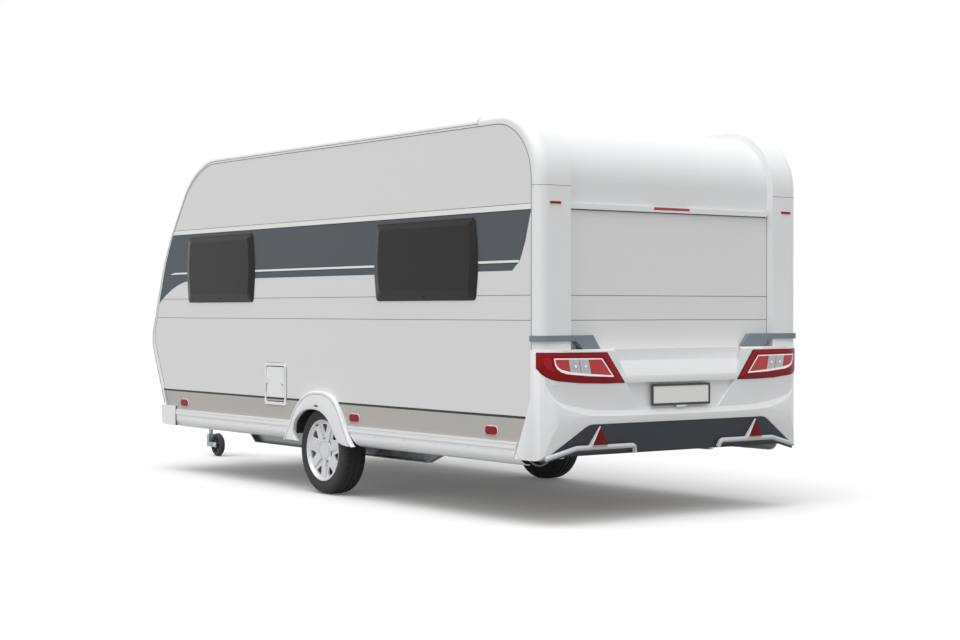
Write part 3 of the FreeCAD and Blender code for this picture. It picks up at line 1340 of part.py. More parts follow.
head = Piece("coupling_head")
head.pad("z", d.head_z - d.cup_low, d.head_z - d.cup_low + d.cup_high,
         [(d.ball_x - d.neck_radius + d.seat_gap, -d.cup_radius, None),
          (d.coupling_tip, -d.cup_radius, d.neck_radius),
          (d.coupling_tip, d.cup_radius, d.neck_radius),
          (d.ball_x - d.neck_radius + d.seat_gap, d.cup_radius, None)])
head.revolve("y", ZERO, [
    (d.ball_x, d.head_z - d.cup_low - d.overrun, None),
    (d.ball_x + d.ball_radius, d.head_z - d.cup_low - d.overrun, None),
    (d.ball_x + d.ball_radius, d.head_z, None), (d.ball_x, d.head_z + d.ball_radius, None)],
    ((d.ball_x, d.head_z - d.cup_low), (d.ball_x, d.head_z + d.cup_high)),
    "PartDesign::Groove")
keep("coupling_head", head)

lever = block("coupling_lever",
              (d.ball_x - d.lever_length, -d.lever_width / 2,
               d.head_z - d.cup_low + d.cup_high),
              (d.ball_x, d.lever_width / 2, d.head_z - d.cup_low + d.cup_high + d.lever_high))
brake_lever = block("brake_lever",
                    (d.brake_lever_x, -d.brake_lever_width / 2, d.head_z + d.house_radius),
                    (d.brake_lever_x + d.brake_lever_width, d.brake_lever_width / 2,
                     d.head_z + d.house_radius + d.brake_lever_length))
keep("hand_levers", compound("levers", lever, brake_lever))

# Axle, arms and wheels
tube_x = d.axle_x + d.tube_ahead
tube_end = half_width - d.tube_in
axle_rod = rod("axle_rod", "y", (tube_x, -tube_end, d.axle_z), d.tube_radius,
               tube_end * 2)


def swing_arm():
    """Return the left trailing arm with its stub axle."""
    arm = Piece("swing_left")
    low, high = tube_end + d.seat_gap, tube_end + d.seat_gap + d.arm_thick
    arm.pad("y", low, high, (tube_x, d.axle_z, d.arm_radius))
    arm.pad("y", low, high, (d.axle_x, d.axle_z, d.arm_radius))
    arm.pad("y", low, high, rectangle(d.axle_x, d.axle_z - d.arm_radius / 2, tube_x,
                                      d.axle_z + d.arm_radius / 2))
    arm.pad("y", high, wheel_y + d.stub_out, (d.axle_x, d.axle_z, d.stub_radius))
    return arm.body


arm_left = swing_arm()
keep("axle_beam", compound("axle_pieces", axle_rod, arm_left, mirrored("swing_right", arm_left)))


def wheel(side, word):
    """Make one road wheel: its tyre, its rim with the spokes, and its brake drum."""
    half = d.tyre_width / 2
    outward = side > 0

    def across(distance):
        """Return a place along the axle, measured outwards from the wheel's middle."""
        return wheel_y + distance if outward else -wheel_y - distance

    def span(low, high):
        """Return two places along the axle in rising order."""
        return (across(low), across(high)) if outward else (across(high), across(low))

    def ring(points):
        """Return a turning profile from places along the axle and radii about it."""
        return [(across(place), d.axle_z + radius, None) for place, radius in points]

    axis_line = ((across(-half), d.axle_z), (across(half), d.axle_z))
    shoulder, crown = d.tyre_shoulder, d.tread_crown
    tyre = Piece(f"tyre_{word}")
    tyre.revolve("x", d.axle_x, ring([
        (crown - half, d.rim_radius + d.seat_gap), (half - crown, d.rim_radius + d.seat_gap),
        (half, d.rim_radius + shoulder), (half - crown, d.tyre_radius - shoulder),
        (half - shoulder, d.tyre_radius), (shoulder - half, d.tyre_radius),
        (crown - half, d.tyre_radius - shoulder), (-half, d.rim_radius + shoulder)]), axis_line)
    keep(f"tyre_{word}", tyre)

    rim = Piece(f"wheel_rim_{word}")
    inner, outer = crown - half, half - crown
    face = outer - d.disc_inset
    back = face - d.disc_thick
    rim.revolve("x", d.axle_x, ring([
        (inner, d.rim_radius - d.rim_wall * 2), (back, d.rim_seat_radius - d.rim_wall),
        (back, ZERO), (face + d.cap_proud, ZERO), (face + d.cap_proud, d.cap_radius),
        (face - d.dish_depth, d.cap_ring_radius), (face, d.rim_seat_radius - d.rim_wall),
        (outer, d.rim_radius - d.rim_wall), (outer, d.rim_radius), (inner, d.rim_radius)]),
        axis_line)
    window = rim.pocket("y", *span(back - d.overrun, face + d.overrun), [
        (ZERO, d.window_inner, d.window_point_round),
        (d.window_half, d.window_outer, d.window_round),
        (-d.window_half, d.window_outer, d.window_round)], origin=(d.axle_x, d.axle_z))
    rim.repeat(window, d.spoke_count)
    ridge = rim.pad("y", *span(face - d.dish_depth - d.seat_gap, face + d.ridge_proud), [
        (-d.ridge_half, -d.window_outer, d.ridge_round),
        (d.ridge_half, -d.window_outer, d.ridge_round),
        (d.ridge_half, -d.cap_radius, None), (-d.ridge_half, -d.cap_radius, None)],
        origin=(d.axle_x, d.axle_z))
    rim.repeat(ridge, d.spoke_count)
    keep(f"wheel_rim_{word}", rim)

    drum = Piece(f"brake_drum_{word}")
    drum.pad("y", *span(back - d.drum_width, back), (d.axle_x, d.axle_z, d.drum_radius),
             (d.axle_x, d.axle_z, d.stub_radius + d.stub_gap))
    keep(f"brake_drum_{word}", drum)


wheel(1, "left")
wheel(-1, "right")

# Jockey wheel, its tube and its clamp
jockey_at = (d.jockey_x, d.jockey_y)
sleeve = Piece("sleeve_tube")
sleeve.pad("z", d.sleeve_low, d.sleeve_high, (*jockey_at, d.sleeve_radius),
           (*jockey_at, d.inner_radius + d.pin_gap))
clamp = block("clamp_block",
              (d.jockey_x - d.clamp_width / 2, d.house_radius / 2,
               d.head_z - d.clamp_high / 2),
              (d.jockey_x + d.clamp_width / 2, d.jockey_y, d.head_z + d.clamp_high / 2))
clamp_cuts = fuse("clamp_cuts",
                  rod("clamp_house", "x", (d.arm_end_x, ZERO, d.head_z), d.house_radius,
                      d.house_front - d.arm_end_x),
                  rod("clamp_bore", "z", (*jockey_at, ZERO), d.sleeve_radius, d.sleeve_high))
crank_top = d.sleeve_high + d.crank_high
crank = fuse("crank", rod("crank_cap", "z", (*jockey_at, d.sleeve_high), d.sleeve_radius,
                          d.crank_radius),
             rod("crank_stem", "z", (*jockey_at, d.sleeve_high), d.crank_radius, d.crank_high),
             rod("crank_arm", "x", (d.jockey_x - d.crank_reach, d.jockey_y, crank_top),
                 d.crank_radius, d.crank_reach + d.crank_radius),
             rod("crank_grip", "z", (d.jockey_x - d.crank_reach, d.jockey_y, crank_top),
                 d.crank_radius, d.crank_high))
keep("jockey_sleeve", fuse("sleeve_clamped", sleeve.body,
                           cut("clamp_cut", clamp, clamp_cuts), crank))

tube = Piece("jockey_tube")
tube.pad("z", d.inner_low, d.inner_high, (*jockey_at, d.inner_radius))
keep("jockey_tube", tube)

wheel_x = d.jockey_x - d.jockey_trail
fork_in = d.jockey_width / 2 + d.fork_gap
fork_out = fork_in + d.fork_plate
fork = Piece("jockey_fork")
fork.pad("y", d.jockey_y - fork_out, d.jockey_y + fork_out, [
    (wheel_x - d.fork_high / 2, d.jockey_radius - d.fork_high / 2, None),
    (d.jockey_x + d.inner_radius, d.fork_foot, None),
    (d.jockey_x + d.inner_radius, d.inner_low - d.seat_gap, None),
    (d.jockey_x - d.inner_radius, d.inner_low - d.seat_gap, None),
    (d.jockey_x - d.inner_radius, d.jockey_radius + d.fork_high / 2, None),
    (wheel_x - d.fork_high / 2, d.jockey_radius + d.fork_high / 2, None)])
fork.pocket("y", d.jockey_y - fork_in, d.jockey_y + fork_in,
            rectangle(wheel_x - d.fork_high, ZERO, d.jockey_x - d.inner_radius,
                      d.sleeve_high))
fork.pad("y", d.jockey_y - fork_in, d.jockey_y + fork_in,
         (wheel_x, d.jockey_radius, d.axle_pin_radius))
keep("jockey_fork", fork)

jockey = Piece("jockey_wheel")
half, web, bore = d.jockey_width / 2, d.jockey_web / 2, d.axle_pin_radius + d.pin_gap
jockey_half = [(half, bore), (half, d.jockey_hub), (web, d.jockey_hub), (web, d.jockey_rim),
               (half - d.jockey_bead / 2, d.jockey_rim), (half, d.jockey_radius - d.jockey_bead),
               (half - d.jockey_bead, d.jockey_radius)]
jockey_profile = jockey_half + [(-place, radius) for place, radius in reversed(jockey_half)]
jockey.revolve("x", wheel_x, [(d.jockey_y + place, d.jockey_radius + radius, None)
                              for place, radius in jockey_profile],
               ((d.jockey_y - half, d.jockey_radius), (d.jockey_y + half, d.jockey_radius)))
keep("jockey_wheel", jockey)


# Corner steadies, folded level under the floor
def steady(word, side_word, place, forward, left):
    """Make one steady leg and return the bracket that carries it."""
    name = f"{word}_{side_word}"
    steady_y = half_width - d.steady_in
    middle = steady_y if left else -steady_y

    def along(distance):
        """Return a place along the leg, measured from its hinge."""
        return place + distance if forward else place - distance

    def span(low, high):
        """Return two places along the leg in rising order."""
        return (along(low), along(high)) if forward else (along(high), along(low))

    leg = Piece(f"steady_leg_{name}")
    half_leg, half_high = d.leg_width / 2, d.leg_high / 2
    start, end = span(-half_high, d.leg_length)
    leg.pad("y", middle - half_leg, middle + half_leg,
            rectangle(start, d.hinge_z - half_high, end, d.hinge_z + half_high))
    leg.pad("x", *span(d.leg_length - d.foot_thick, d.leg_length),
            rectangle(middle - d.foot_width / 2, d.hinge_z - d.foot_length / 2,
                      middle + d.foot_width / 2, d.hinge_z + d.foot_length / 2))
    inner_start, inner_end = span(half_high, d.leg_length - d.foot_thick)
    leg.pocket("z", d.hinge_z - half_high - d.overrun, d.hinge_z + half_high - d.leg_plate,
               rectangle(inner_start, middle - half_leg + d.leg_plate, inner_end,
                         middle + half_leg - d.leg_plate))
    leg.pocket("y", middle - half_leg - d.overrun, middle + half_leg + d.overrun,
               (place, d.hinge_z, d.hinge_pin_radius + d.pin_gap))
    keep(f"steady_leg_{name}", leg)

    cheek_in = half_leg + d.leg_gap
    cheek_out = cheek_in + d.bracket_thick
    bracket = Piece(f"bracket_{name}")
    bracket.pad("y", middle - cheek_out, middle + cheek_out,
                rectangle(place - d.bracket_length / 2, d.hinge_z - half_high,
                          place + d.bracket_length / 2, d.floor_low))
    bracket.pocket("y", middle - cheek_in, middle + cheek_in,
                   rectangle(place - d.bracket_length, ZERO, place + d.bracket_length,
                             d.floor_low - d.bracket_thick))
    bracket.pad("y", middle - cheek_out, middle + cheek_out,
                (place, d.hinge_z, d.hinge_pin_radius))
    return bracket.body


brackets = []
for word, place, forward in (("rear", d.steady_rear_x, True),
                             ("front", d.steady_front_x, False)):
    for side_word, left in (("left", True), ("right", False)):
        brackets.append(steady(word, side_word, place, forward, left))
keep("steady_brackets", compound("brackets", *brackets))

doc.recompute()
for item in doc.Objects:
    if "Invalid" in item.State or "Error" in item.State:
        raise RuntimeError(f"{item.Name} failed: {item.State}")
for name, made in NODES.items():
    shape = made.Shape
    if shape.isNull() or not shape.isValid() or shape.Volume <= 0:
        raise RuntimeError(f"{name} has no sound shape")
for name, made in NODES.items():
    made.Shape.exportStep(os.path.join("parts", f"{name}.step"))
print(f"{len(NODES)} nodes written")
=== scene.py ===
"""Looks of a travel caravan on one axle.

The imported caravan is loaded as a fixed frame. Each class below dresses one sub-assembly of it and
adds the small pieces that only show in its looks. Lengths are in metres: x runs forward, y to the
left and z up from the ground.
"""

import logging
import math
from collections.abc import Callable, Iterator
from contextlib import contextmanager
from dataclasses import dataclass, field
from enum import Enum

import bmesh
import bpy
from mathutils import Matrix, Vector


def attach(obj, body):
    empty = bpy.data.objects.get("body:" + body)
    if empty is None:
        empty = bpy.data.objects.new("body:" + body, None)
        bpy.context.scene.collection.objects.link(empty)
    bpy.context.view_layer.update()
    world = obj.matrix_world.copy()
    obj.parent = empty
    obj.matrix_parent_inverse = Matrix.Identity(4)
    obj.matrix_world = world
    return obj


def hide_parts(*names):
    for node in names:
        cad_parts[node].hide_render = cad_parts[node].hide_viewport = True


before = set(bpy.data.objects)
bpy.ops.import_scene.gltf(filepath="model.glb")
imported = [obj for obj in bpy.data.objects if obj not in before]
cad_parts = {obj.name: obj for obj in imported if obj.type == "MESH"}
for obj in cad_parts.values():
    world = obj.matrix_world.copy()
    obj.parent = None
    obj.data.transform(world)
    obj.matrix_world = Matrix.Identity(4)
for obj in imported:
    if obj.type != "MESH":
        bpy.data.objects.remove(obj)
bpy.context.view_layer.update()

log = logging.getLogger("caravan")
Corner = tuple[float, ...]
Shape = bpy.types.Object
Socket = bpy.types.NodeSocket
Paint = tuple[float, float, float, float]
Span = tuple[float, float]
Bounds = tuple[float, float, float, float]

# How far the side sheets stand from the middle of the caravan
SKIN = 1.150
# The side windows: their lower and upper level, how far their ends bow out, and their rounds
PANE_LEVELS: Span = (1.443, 1.974)
PANE_BOW = 0.037
PANE_BEND = 0.026
# The thin grey lines on the sides and the rear
PINSTRIPES: Span = (1.466, 1.307)
PINSTRIPE_HIGH = 0.004


def tint(red: int, green: int, blue: int) -> Paint:
    """Turns a screen colour from 0 to 255 into the linear one that a shader takes."""
    shares = [part / 255 for part in (red, green, blue)]
    return (*[s / 12.92 if s <= 0.04045 else ((s + 0.055) / 1.055) ** 2.4 for s in shares], 1.0)


def rectangle(low_h: float, low_v: float, high_h: float, high_v: float,
              bend: float = 0.0) -> list[Corner]:
    """Gives an upright rectangle, or a level one, with the round of its corners."""
    return [(low_h, low_v, bend), (high_h, low_v, bend), (high_h, high_v, bend),
            (low_h, high_v, bend)]


def centred(h: float, v: float, half_h: float, half_v: float, bend: float = 0.0) -> list[Corner]:
    """Gives an upright rectangle about its middle, by half its width and half its height."""
    return rectangle(h - half_h, v - half_v, h + half_h, v + half_v, bend)


def both_halves(half: tuple[Corner, ...]) -> list[Corner]:
    """Gives a whole outline across the caravan from the half of it on one side."""
    return [*half, *[(-y, z, *bend) for y, z, *bend in reversed(half)]]


def grown(box: Bounds, margin: float, bend: float) -> list[Corner]:
    """Gives an upright rectangle, with rounds, that is grown all round by a margin."""
    left, low, right, top = box
    return rectangle(left - margin, low - margin, right + margin, top + margin, bend + margin)


class Side(Enum):
    """The two sides of the caravan."""

    LEFT = 1
    RIGHT = -1

    @property
    def word(self) -> str:
        """The side's name as it is used in the names of pieces."""
        return self.name.lower()

    @property
    def mirror(self) -> Matrix:
        """What carries a piece that was made for the left side over to this side."""
        return Matrix.Diagonal((1, self.value, 1, 1))


# The rear and front end of each side window
PANES: dict[Side, tuple[Span, ...]] = {
    Side.LEFT: ((-2.659, -1.479), (0.312, 1.404)),
    Side.RIGHT: ((-2.359, -1.179), (-0.939, -0.229))}


def pane_outline(start: float, end: float, margin: float = 0.0) -> list[Corner]:
    """Gives the outline of a side window, whose ends bow out.

    Args:
        start: Its rear end at the corners.
        end: Its front end at the corners.
        margin: How far the outline is grown.

    Returns:
        Six corners with their rounds.
    """
    low, high = PANE_LEVELS[0] - margin, PANE_LEVELS[1] + margin
    left, right, middle, bend = start - margin, end + margin, (low + high) / 2, PANE_BEND + margin
    return [(left, low, bend), (right, low, bend), (right + PANE_BOW, middle, 1.0),
            (right, high, bend), (left, high, bend), (left - PANE_BOW, middle, 1.0)]


def nose_face(z: float) -> float:
    """Gives how far forward the centre skin of the nose stands at a level.

    Args:
        z: The level.

    Returns:
        The place along the caravan.
    """
    apron_top, knee_top, brow_low = 1.010, 1.223, 1.624
    knee_radius, crown_radius = 0.280, 1.600
    if z < apron_top:
        return 1.803 + 0.456 * (z - 0.455)
    if z < knee_top:
        return 1.801 + math.sqrt(knee_radius ** 2 - (z - 1.126) ** 2)
    if z < brow_low:
        return 2.104 - 0.3668 * (z - 1.115)
    return 0.415 + math.sqrt(crown_radius ** 2 - (z - 1.074) ** 2)


def nose_loop(half: float, low: float, high: float, bend: float,
              out: float = 0.0) -> list[Corner]:
    """Gives the corners of a rounded rectangle that follows the nose.

    Args:
        half: Half its width.
        low: Its lower level.
        high: Its upper level.
        bend: Round of its corners.
        out: How far it stands out.

    Returns:
        Places round it, with their rounds.
    """
    steps = [low + (high - low) * share / 6 for share in range(7)]
    right = [(nose_face(z) + out, -half, z) for z in steps]
    left = [(nose_face(z) + out, half, z) for z in reversed(steps)]
    for side in (right, left):
        side[0] = (*side[0], bend)
        side[-1] = (*side[-1], bend)
    return [*right, *left]


class Bench:
    """The steps that every piece is started, shaped and finished with."""

    AXES = "xyz"

    @classmethod
    def along(cls, axis: str) -> Vector:
        """Gives the step of one metre along x, y or z."""
        return Vector([float(axis == name) for name in cls.AXES])

    @staticmethod
    def clear() -> None:
        """Leaves edit mode and deselects everything."""
        if bpy.context.mode != "OBJECT":
            bpy.ops.object.mode_set(mode="OBJECT")
        bpy.ops.object.select_all(action="DESELECT")

    @classmethod
    def take(cls, *pieces: Shape) -> None:
        """Selects the pieces alone and makes the first one active."""
        cls.clear()
        for piece in pieces:
            piece.select_set(True)
        bpy.context.view_layer.objects.active = pieces[0]

    @classmethod
    def settle(cls, name: str) -> Shape:
        """Names the active object and puts its place, turn and scale into its mesh.

        Args:
            name: Name of the piece and its mesh.

        Returns:
            The piece, with its object at the origin.
        """
        piece = bpy.context.object
        piece.name = piece.data.name = name
        cls.take(piece)
        bpy.ops.object.transform_apply(location=True, rotation=True, scale=True)
        return piece

    @classmethod
    @contextmanager
    def editing(cls, piece: Shape, mode: str = "FACE") -> Iterator[None]:
        """Holds a piece in edit mode with nothing selected.

        Args:
            piece: The piece to edit.
            mode: What is selected: VERT, EDGE or FACE.

        Yields:
            Nothing.
        """
        cls.take(piece)
        bpy.ops.object.mode_set(mode="EDIT")
        bpy.ops.mesh.select_mode(type=mode)
        bpy.ops.mesh.select_all(action="DESELECT")
        yield
        bpy.ops.object.mode_set(mode="OBJECT")

    @staticmethod
    def choose(piece: Shape, kind: str, test: Callable) -> int:
        """Selects the parts of an edited mesh that pass a test.

        Args:
            piece: The piece in edit mode.
            kind: verts, edges or faces.
            test: Says whether one of them is selected.

        Returns:
            How many are selected.
        """
        bpy.ops.mesh.select_all(action="DESELECT")
        mesh = bmesh.from_edit_mesh(piece.data)
        found = [item for item in getattr(mesh, kind) if test(item)]
        for item in found:
            item.select_set(True)
        mesh.select_flush_mode()
        bmesh.update_edit_mesh(piece.data)
        return len(found)

    @classmethod
    def move_corner(cls, piece: Shape, index: int, target: Vector) -> None:
        """Moves one corner of an edited mesh to a place.

        Args:
            piece: The piece in edit mode.
            index: Which corner.
            target: Where it goes.
        """
        place = Vector()

        def is_it(corner: bmesh.types.BMVert) -> bool:
            """Whether this is the corner, whose place is noted."""
            if corner.index == index:
                place.xyz = corner.co
            return corner.index == index

        cls.choose(piece, "verts", is_it)
        bpy.ops.transform.translate(value=target - place)

    @classmethod
    def draw(cls, name: str, points: list[Corner], closed: bool) -> Shape:
        """Draws a line from point to point, with its corners rounded.

        Args:
            name: Name of the piece.
            points: Places, each with an optional fourth number for its round.
            closed: Whether the line returns to its start and is filled.

        Returns:
            The line, or the filled outline.
        """
        cls.clear()
        count = len(points)
        fill = "NGON" if closed else "NOTHING"
        bpy.ops.mesh.primitive_circle_add(vertices=count if closed else count + 1, radius=1,
                                          fill_type=fill, location=(0, 0, 0))
        piece = cls.settle(name)
        places = [Vector(point[:3]) for point in points]
        with cls.editing(piece, "VERT"):
            if not closed:
                cls.choose(piece, "verts", lambda corner: corner.index == count)
                bpy.ops.mesh.delete(type="VERT")
            for index, place in enumerate(places):
                cls.move_corner(piece, index, place)
            for index, point in enumerate(points):
                bend = point[3] if len(point) > 3 else 0.0
                if bend:
                    before = (places[index - 1] - places[index]).normalized()
                    after = (places[(index + 1) % count] - places[index]).normalized()
                    cls.bend_corner(piece, places[index], before.angle(after), bend)
        return piece

    @classmethod
    def bend_corner(cls, piece: Shape, place: Vector, angle: float, bend: float) -> None:
        """Rounds one corner of a drawn line.

        Args:
            piece: The line in edit mode.
            place: Where the corner is.
            angle: Angle between its two edges.
            bend: Radius of the round.
        """
        turn = math.pi - angle
        if turn < 0.01:
            return
        cls.choose(piece, "verts", lambda corner: (corner.co - place).length < 1e-5)
        bpy.ops.mesh.bevel(offset=bend * math.tan(turn / 2), offset_type="OFFSET",
                           segments=max(4, min(24, math.ceil(math.degrees(turn) / 6))),
                           profile=0.5, affect="VERTICES", clamp_overlap=False)

    @classmethod
    def plate(cls, name: str, axis: str, low: float, high: float,
              corners: list[Corner]) -> Shape:
        """Draws an outline square to an axis and pulls it out to a solid.

        Args:
            name: Name of the piece.
            axis: x, y or z, the way it is pulled.
            low: Where it starts along the axis.
            high: Where it ends along the axis.
            corners: The outline's corners in the other two directions, with optional rounds.

        Returns:
            The closed plate.
        """
        points = []
        for corner in corners:
            place = list(corner[:2])
            place.insert(cls.AXES.index(axis), low)
            points.append((*place, *corner[2:]))
        piece = cls.draw(name, points, closed=True)
        step = cls.along(axis) * (high - low)
        with cls.editing(piece):
            bpy.ops.mesh.select_all(action="SELECT")
            bpy.ops.mesh.extrude_region_move(TRANSFORM_OT_translate={"value": step})
            cls.face_out()
        return piece

    @classmethod
    def pad(cls, name: str, axis: str, low: float, high: float, corners: list[Corner],
            width: float, segments: int = 2, angle: float = 30) -> Shape:
        """Makes a plate with rounded edges, from the values that plate and soften take."""
        return cls.soften(cls.plate(name, axis, low, high, corners), width, segments, angle)

    @staticmethod
    def face_out() -> None:
        """Merges doubled corners of the edited mesh and turns its faces outwards."""
        bpy.ops.mesh.select_all(action="SELECT")
        bpy.ops.mesh.remove_doubles(threshold=1e-6)
        bpy.ops.mesh.normals_make_consistent(inside=False)

    @classmethod
    def tube(cls, name: str, points: list[Corner], radius: float, closed: bool = False,
             sides: int = 8) -> Shape:
        """Runs a round tube along a line.

        Args:
            name: Name of the piece.
            points: Places along it, each with an optional bend radius.
            radius: Radius of the tube.
            closed: Whether it returns to its start.
            sides: Faces round the tube.

        Returns:
            The closed tube.
        """
        piece = cls.draw(name, points, closed)
        if closed:
            with cls.editing(piece):
                bpy.ops.mesh.select_all(action="SELECT")
                bpy.ops.mesh.delete(type="ONLY_FACE")
        cls.take(piece)
        bpy.ops.object.convert(target="CURVE")
        line = bpy.context.object
        line.data.bevel_depth = radius
        line.data.bevel_resolution = max(0, sides // 2 - 2)
        line.data.use_fill_caps = True
        bpy.ops.object.convert(target="MESH")
        piece = cls.settle(name)
        with cls.editing(piece):
            cls.face_out()
        return cls.smooth(piece, 50)

    @classmethod
    def turned(cls, name: str, axis: str, centre: Corner, profile: list[Corner],
               steps: int = 48, ring: bool = False) -> Shape:
        """Turns a profile about an axis, as on a lathe.

        Args:
            name: Name of the piece.
            axis: x, y or z.
            centre: A point on the axis.
            profile: Places along the axis and radii, with optional rounds.
            steps: Faces round the axis.
            ring: Whether the profile is closed, away from the axis.

        Returns:
            The turned piece.
        """
        along, across = cls.along(axis), cls.along("x" if axis == "z" else "z")
        start = Vector(centre)
        points = [(*(start + along * corner[0] + across * corner[1]), *corner[2:])
                  for corner in profile]
        piece = cls.draw(name, points, closed=ring)
        with cls.editing(piece, "VERT"):
            if ring:
                bpy.ops.mesh.select_all(action="SELECT")
                bpy.ops.mesh.delete(type="ONLY_FACE")
            bpy.ops.mesh.select_all(action="SELECT")
            bpy.ops.mesh.spin(steps=steps, angle=math.tau, center=start, axis=along)
            cls.face_out()
        return cls.smooth(piece, 35)

    @classmethod
    def around(cls, piece: Shape, axis: str, centre: Corner, count: int) -> Shape:
        """Repeats a piece round an axis.

        Args:
            piece: The piece at its first place.
            axis: x, y or z.
            centre: A point on the axis.
            count: How many there are in the whole circle.

        Returns:
            The piece with its repeats in one mesh.
        """
        with cls.editing(piece):
            bpy.ops.mesh.select_all(action="SELECT")
            bpy.ops.mesh.spin(steps=count - 1, dupli=True, angle=math.tau * (count - 1) / count,
                              center=centre, axis=cls.along(axis))
        return piece

    @classmethod
    def row(cls, piece: Shape, count: int, step: Corner) -> Shape:
        """Repeats a piece in a straight row.

        Args:
            piece: The first of them.
            count: How many there are.
            step: Way from one to the next.

        Returns:
            The piece with its repeats in one mesh.
        """
        repeat = piece.modifiers.new("row", "ARRAY")
        repeat.count = count
        repeat.use_relative_offset = False
        repeat.use_constant_offset = True
        repeat.constant_offset_displace = step
        return cls.apply(piece)

    @classmethod
    def apply(cls, piece: Shape) -> Shape:
        """Applies all modifiers of a piece.

        Args:
            piece: The mesh that has them.

        Returns:
            The same piece.
        """
        cls.take(piece)
        for modifier in list(piece.modifiers):
            bpy.ops.object.modifier_apply(modifier=modifier.name)
        return piece

    @classmethod
    def carve(cls, piece: Shape, tool: Shape, way: str = "DIFFERENCE",
              keep_tool: bool = False) -> Shape:
        """Cuts a piece with a tool, or keeps only what both share.

        Args:
            piece: The piece to cut.
            tool: The solid that cuts it.
            way: DIFFERENCE, INTERSECT or UNION.
            keep_tool: Whether the tool is used again.

        Returns:
            The cut piece.
        """
        cutter = piece.modifiers.new("cut", "BOOLEAN")
        cutter.operation = way
        cutter.solver = "EXACT"
        cutter.object = tool
        cls.apply(piece)
        if not keep_tool:
            bpy.data.objects.remove(tool)
        return piece

    @classmethod
    def soften(cls, piece: Shape, width: float, segments: int = 2,
               angle: float = 30) -> Shape:
        """Rounds the sharp edges of a piece and smooths its faces.

        Args:
            piece: The piece to soften.
            width: Width of the rounds.
            segments: Faces across each round.
            angle: Smallest angle in degrees that counts as sharp.

        Returns:
            The softened piece.
        """
        rounder = piece.modifiers.new("round", "BEVEL")
        rounder.width = width
        rounder.segments = segments
        rounder.limit_method = "ANGLE"
        rounder.angle_limit = math.radians(angle)
        cls.apply(piece)
        return cls.smooth(piece, 50)

    @classmethod
    def smooth(cls, piece: Shape, angle: float = 35) -> Shape:
        """Smooths the faces of a piece that meet below an angle.

        Args:
            piece: The piece to smooth.
            angle: Largest angle in degrees that is smoothed.

        Returns:
            The same piece.
        """
        cls.take(piece)
        bpy.ops.object.shade_smooth_by_angle(angle=math.radians(angle))
        return piece

    @classmethod
    def join(cls, name: str, *pieces: Shape) -> Shape:
        """Joins pieces into one mesh.

        Args:
            name: Name of the joined piece.
            pieces: What is joined.

        Returns:
            The joined piece.
        """
        cls.take(*pieces)
        if len(pieces) > 1:
            bpy.ops.object.join()
        return cls.settle(name)

    @classmethod
    def copy(cls, piece: Shape, name: str, change: Matrix | None = None) -> Shape:
        """Copies a piece with its own mesh.

        Args:
            piece: The piece to copy.
            name: Name of the copy.
            change: How the copy is moved or turned.

        Returns:
            The copy.
        """
        other = bpy.data.objects.new(name, piece.data.copy())
        bpy.context.scene.collection.objects.link(other)
        other.data.name = name
        if change is not None:
            cls.change(other, change)
        return other

    @staticmethod
    def change(piece: Shape, change: Matrix) -> None:
        """Moves or mirrors the mesh of a piece, with its faces kept outwards.

        Args:
            piece: The piece.
            change: How it is moved, turned or mirrored.
        """
        piece.data.transform(change)
        if change.determinant() < 0:
            piece.data.flip_normals()

    @classmethod
    def on_side(cls, piece: Shape, name: str, side: Side) -> Shape:
        """Copies a piece made for the left side to a side, with the side in its name."""
        return cls.copy(piece, f"{name}_{side.word}", side.mirror)

    @classmethod
    def ring(cls, name: str, axis: str, low: float, high: float, outer: list[Corner],
             inner: list[Corner]) -> Shape:
        """Makes a flat frame between two outlines.

        Args:
            name: Name of the piece.
            axis: x, y or z, square to the frame.
            low: Where it starts along the axis.
            high: Where it ends along the axis.
            outer: Its outer corners.
            inner: The corners of its opening.

        Returns:
            The frame.
        """
        step = (high - low) / 2
        opening = cls.plate("opening", axis, low - step, high + step, inner)
        return cls.carve(cls.plate(name, axis, low, high, outer), opening)

    @classmethod
    def bolt(cls, name: str, axis: str, place: Corner, size: float, out: int = 1) -> Shape:
        """Makes a hexagon bolt head on its washer.

        Args:
            name: Name of the piece.
            axis: x, y or z, along the bolt.
            place: Middle of the face that it holds.
            size: Width across the head.
            out: 1 where the head points up the axis, -1 where it points down.

        Returns:
            The bolt head.
        """
        half, tall = size / 2, out * size
        washer = cls.turned("washer", axis, place, [
            (0.0, 0.0), (0.0, size * 0.9), (tall * 0.14, size * 0.86), (tall * 0.14, 0.0)], 12)
        head = cls.turned("head", axis, place, [
            (0.0, 0.0), (0.0, half), (tall * 0.5, half), (tall * 0.6, half * 0.8),
            (tall * 0.6, 0.0)], 6)
        return cls.join(name, washer, head)


def feed(tree: bpy.types.NodeTree, socket: Socket, value: float | Paint | Socket) -> None:
    """Links an output to an input, or gives the input a fixed value.

    Args:
        tree: The node tree that both are in.
        socket: The input.
        value: The output, or the value.
    """
    if isinstance(value, bpy.types.NodeSocket):
        tree.links.new(value, socket)
    else:
        socket.default_value = value


def wired(tree: bpy.types.NodeTree, kind: str, *inputs: float | Paint | Socket,
          way: str = "") -> bpy.types.Node:
    """Adds a node and feeds its inputs in their order.

    Args:
        tree: The node tree.
        kind: The node's type without its common start.
        inputs: Values or outputs for its first inputs.
        way: The sum that a node for sums does.

    Returns:
        The node.
    """
    node = tree.nodes.new(f"ShaderNode{kind}")
    if way:
        node.operation = way
    for socket, value in zip(node.inputs, inputs):
        feed(tree, socket, value)
    return node


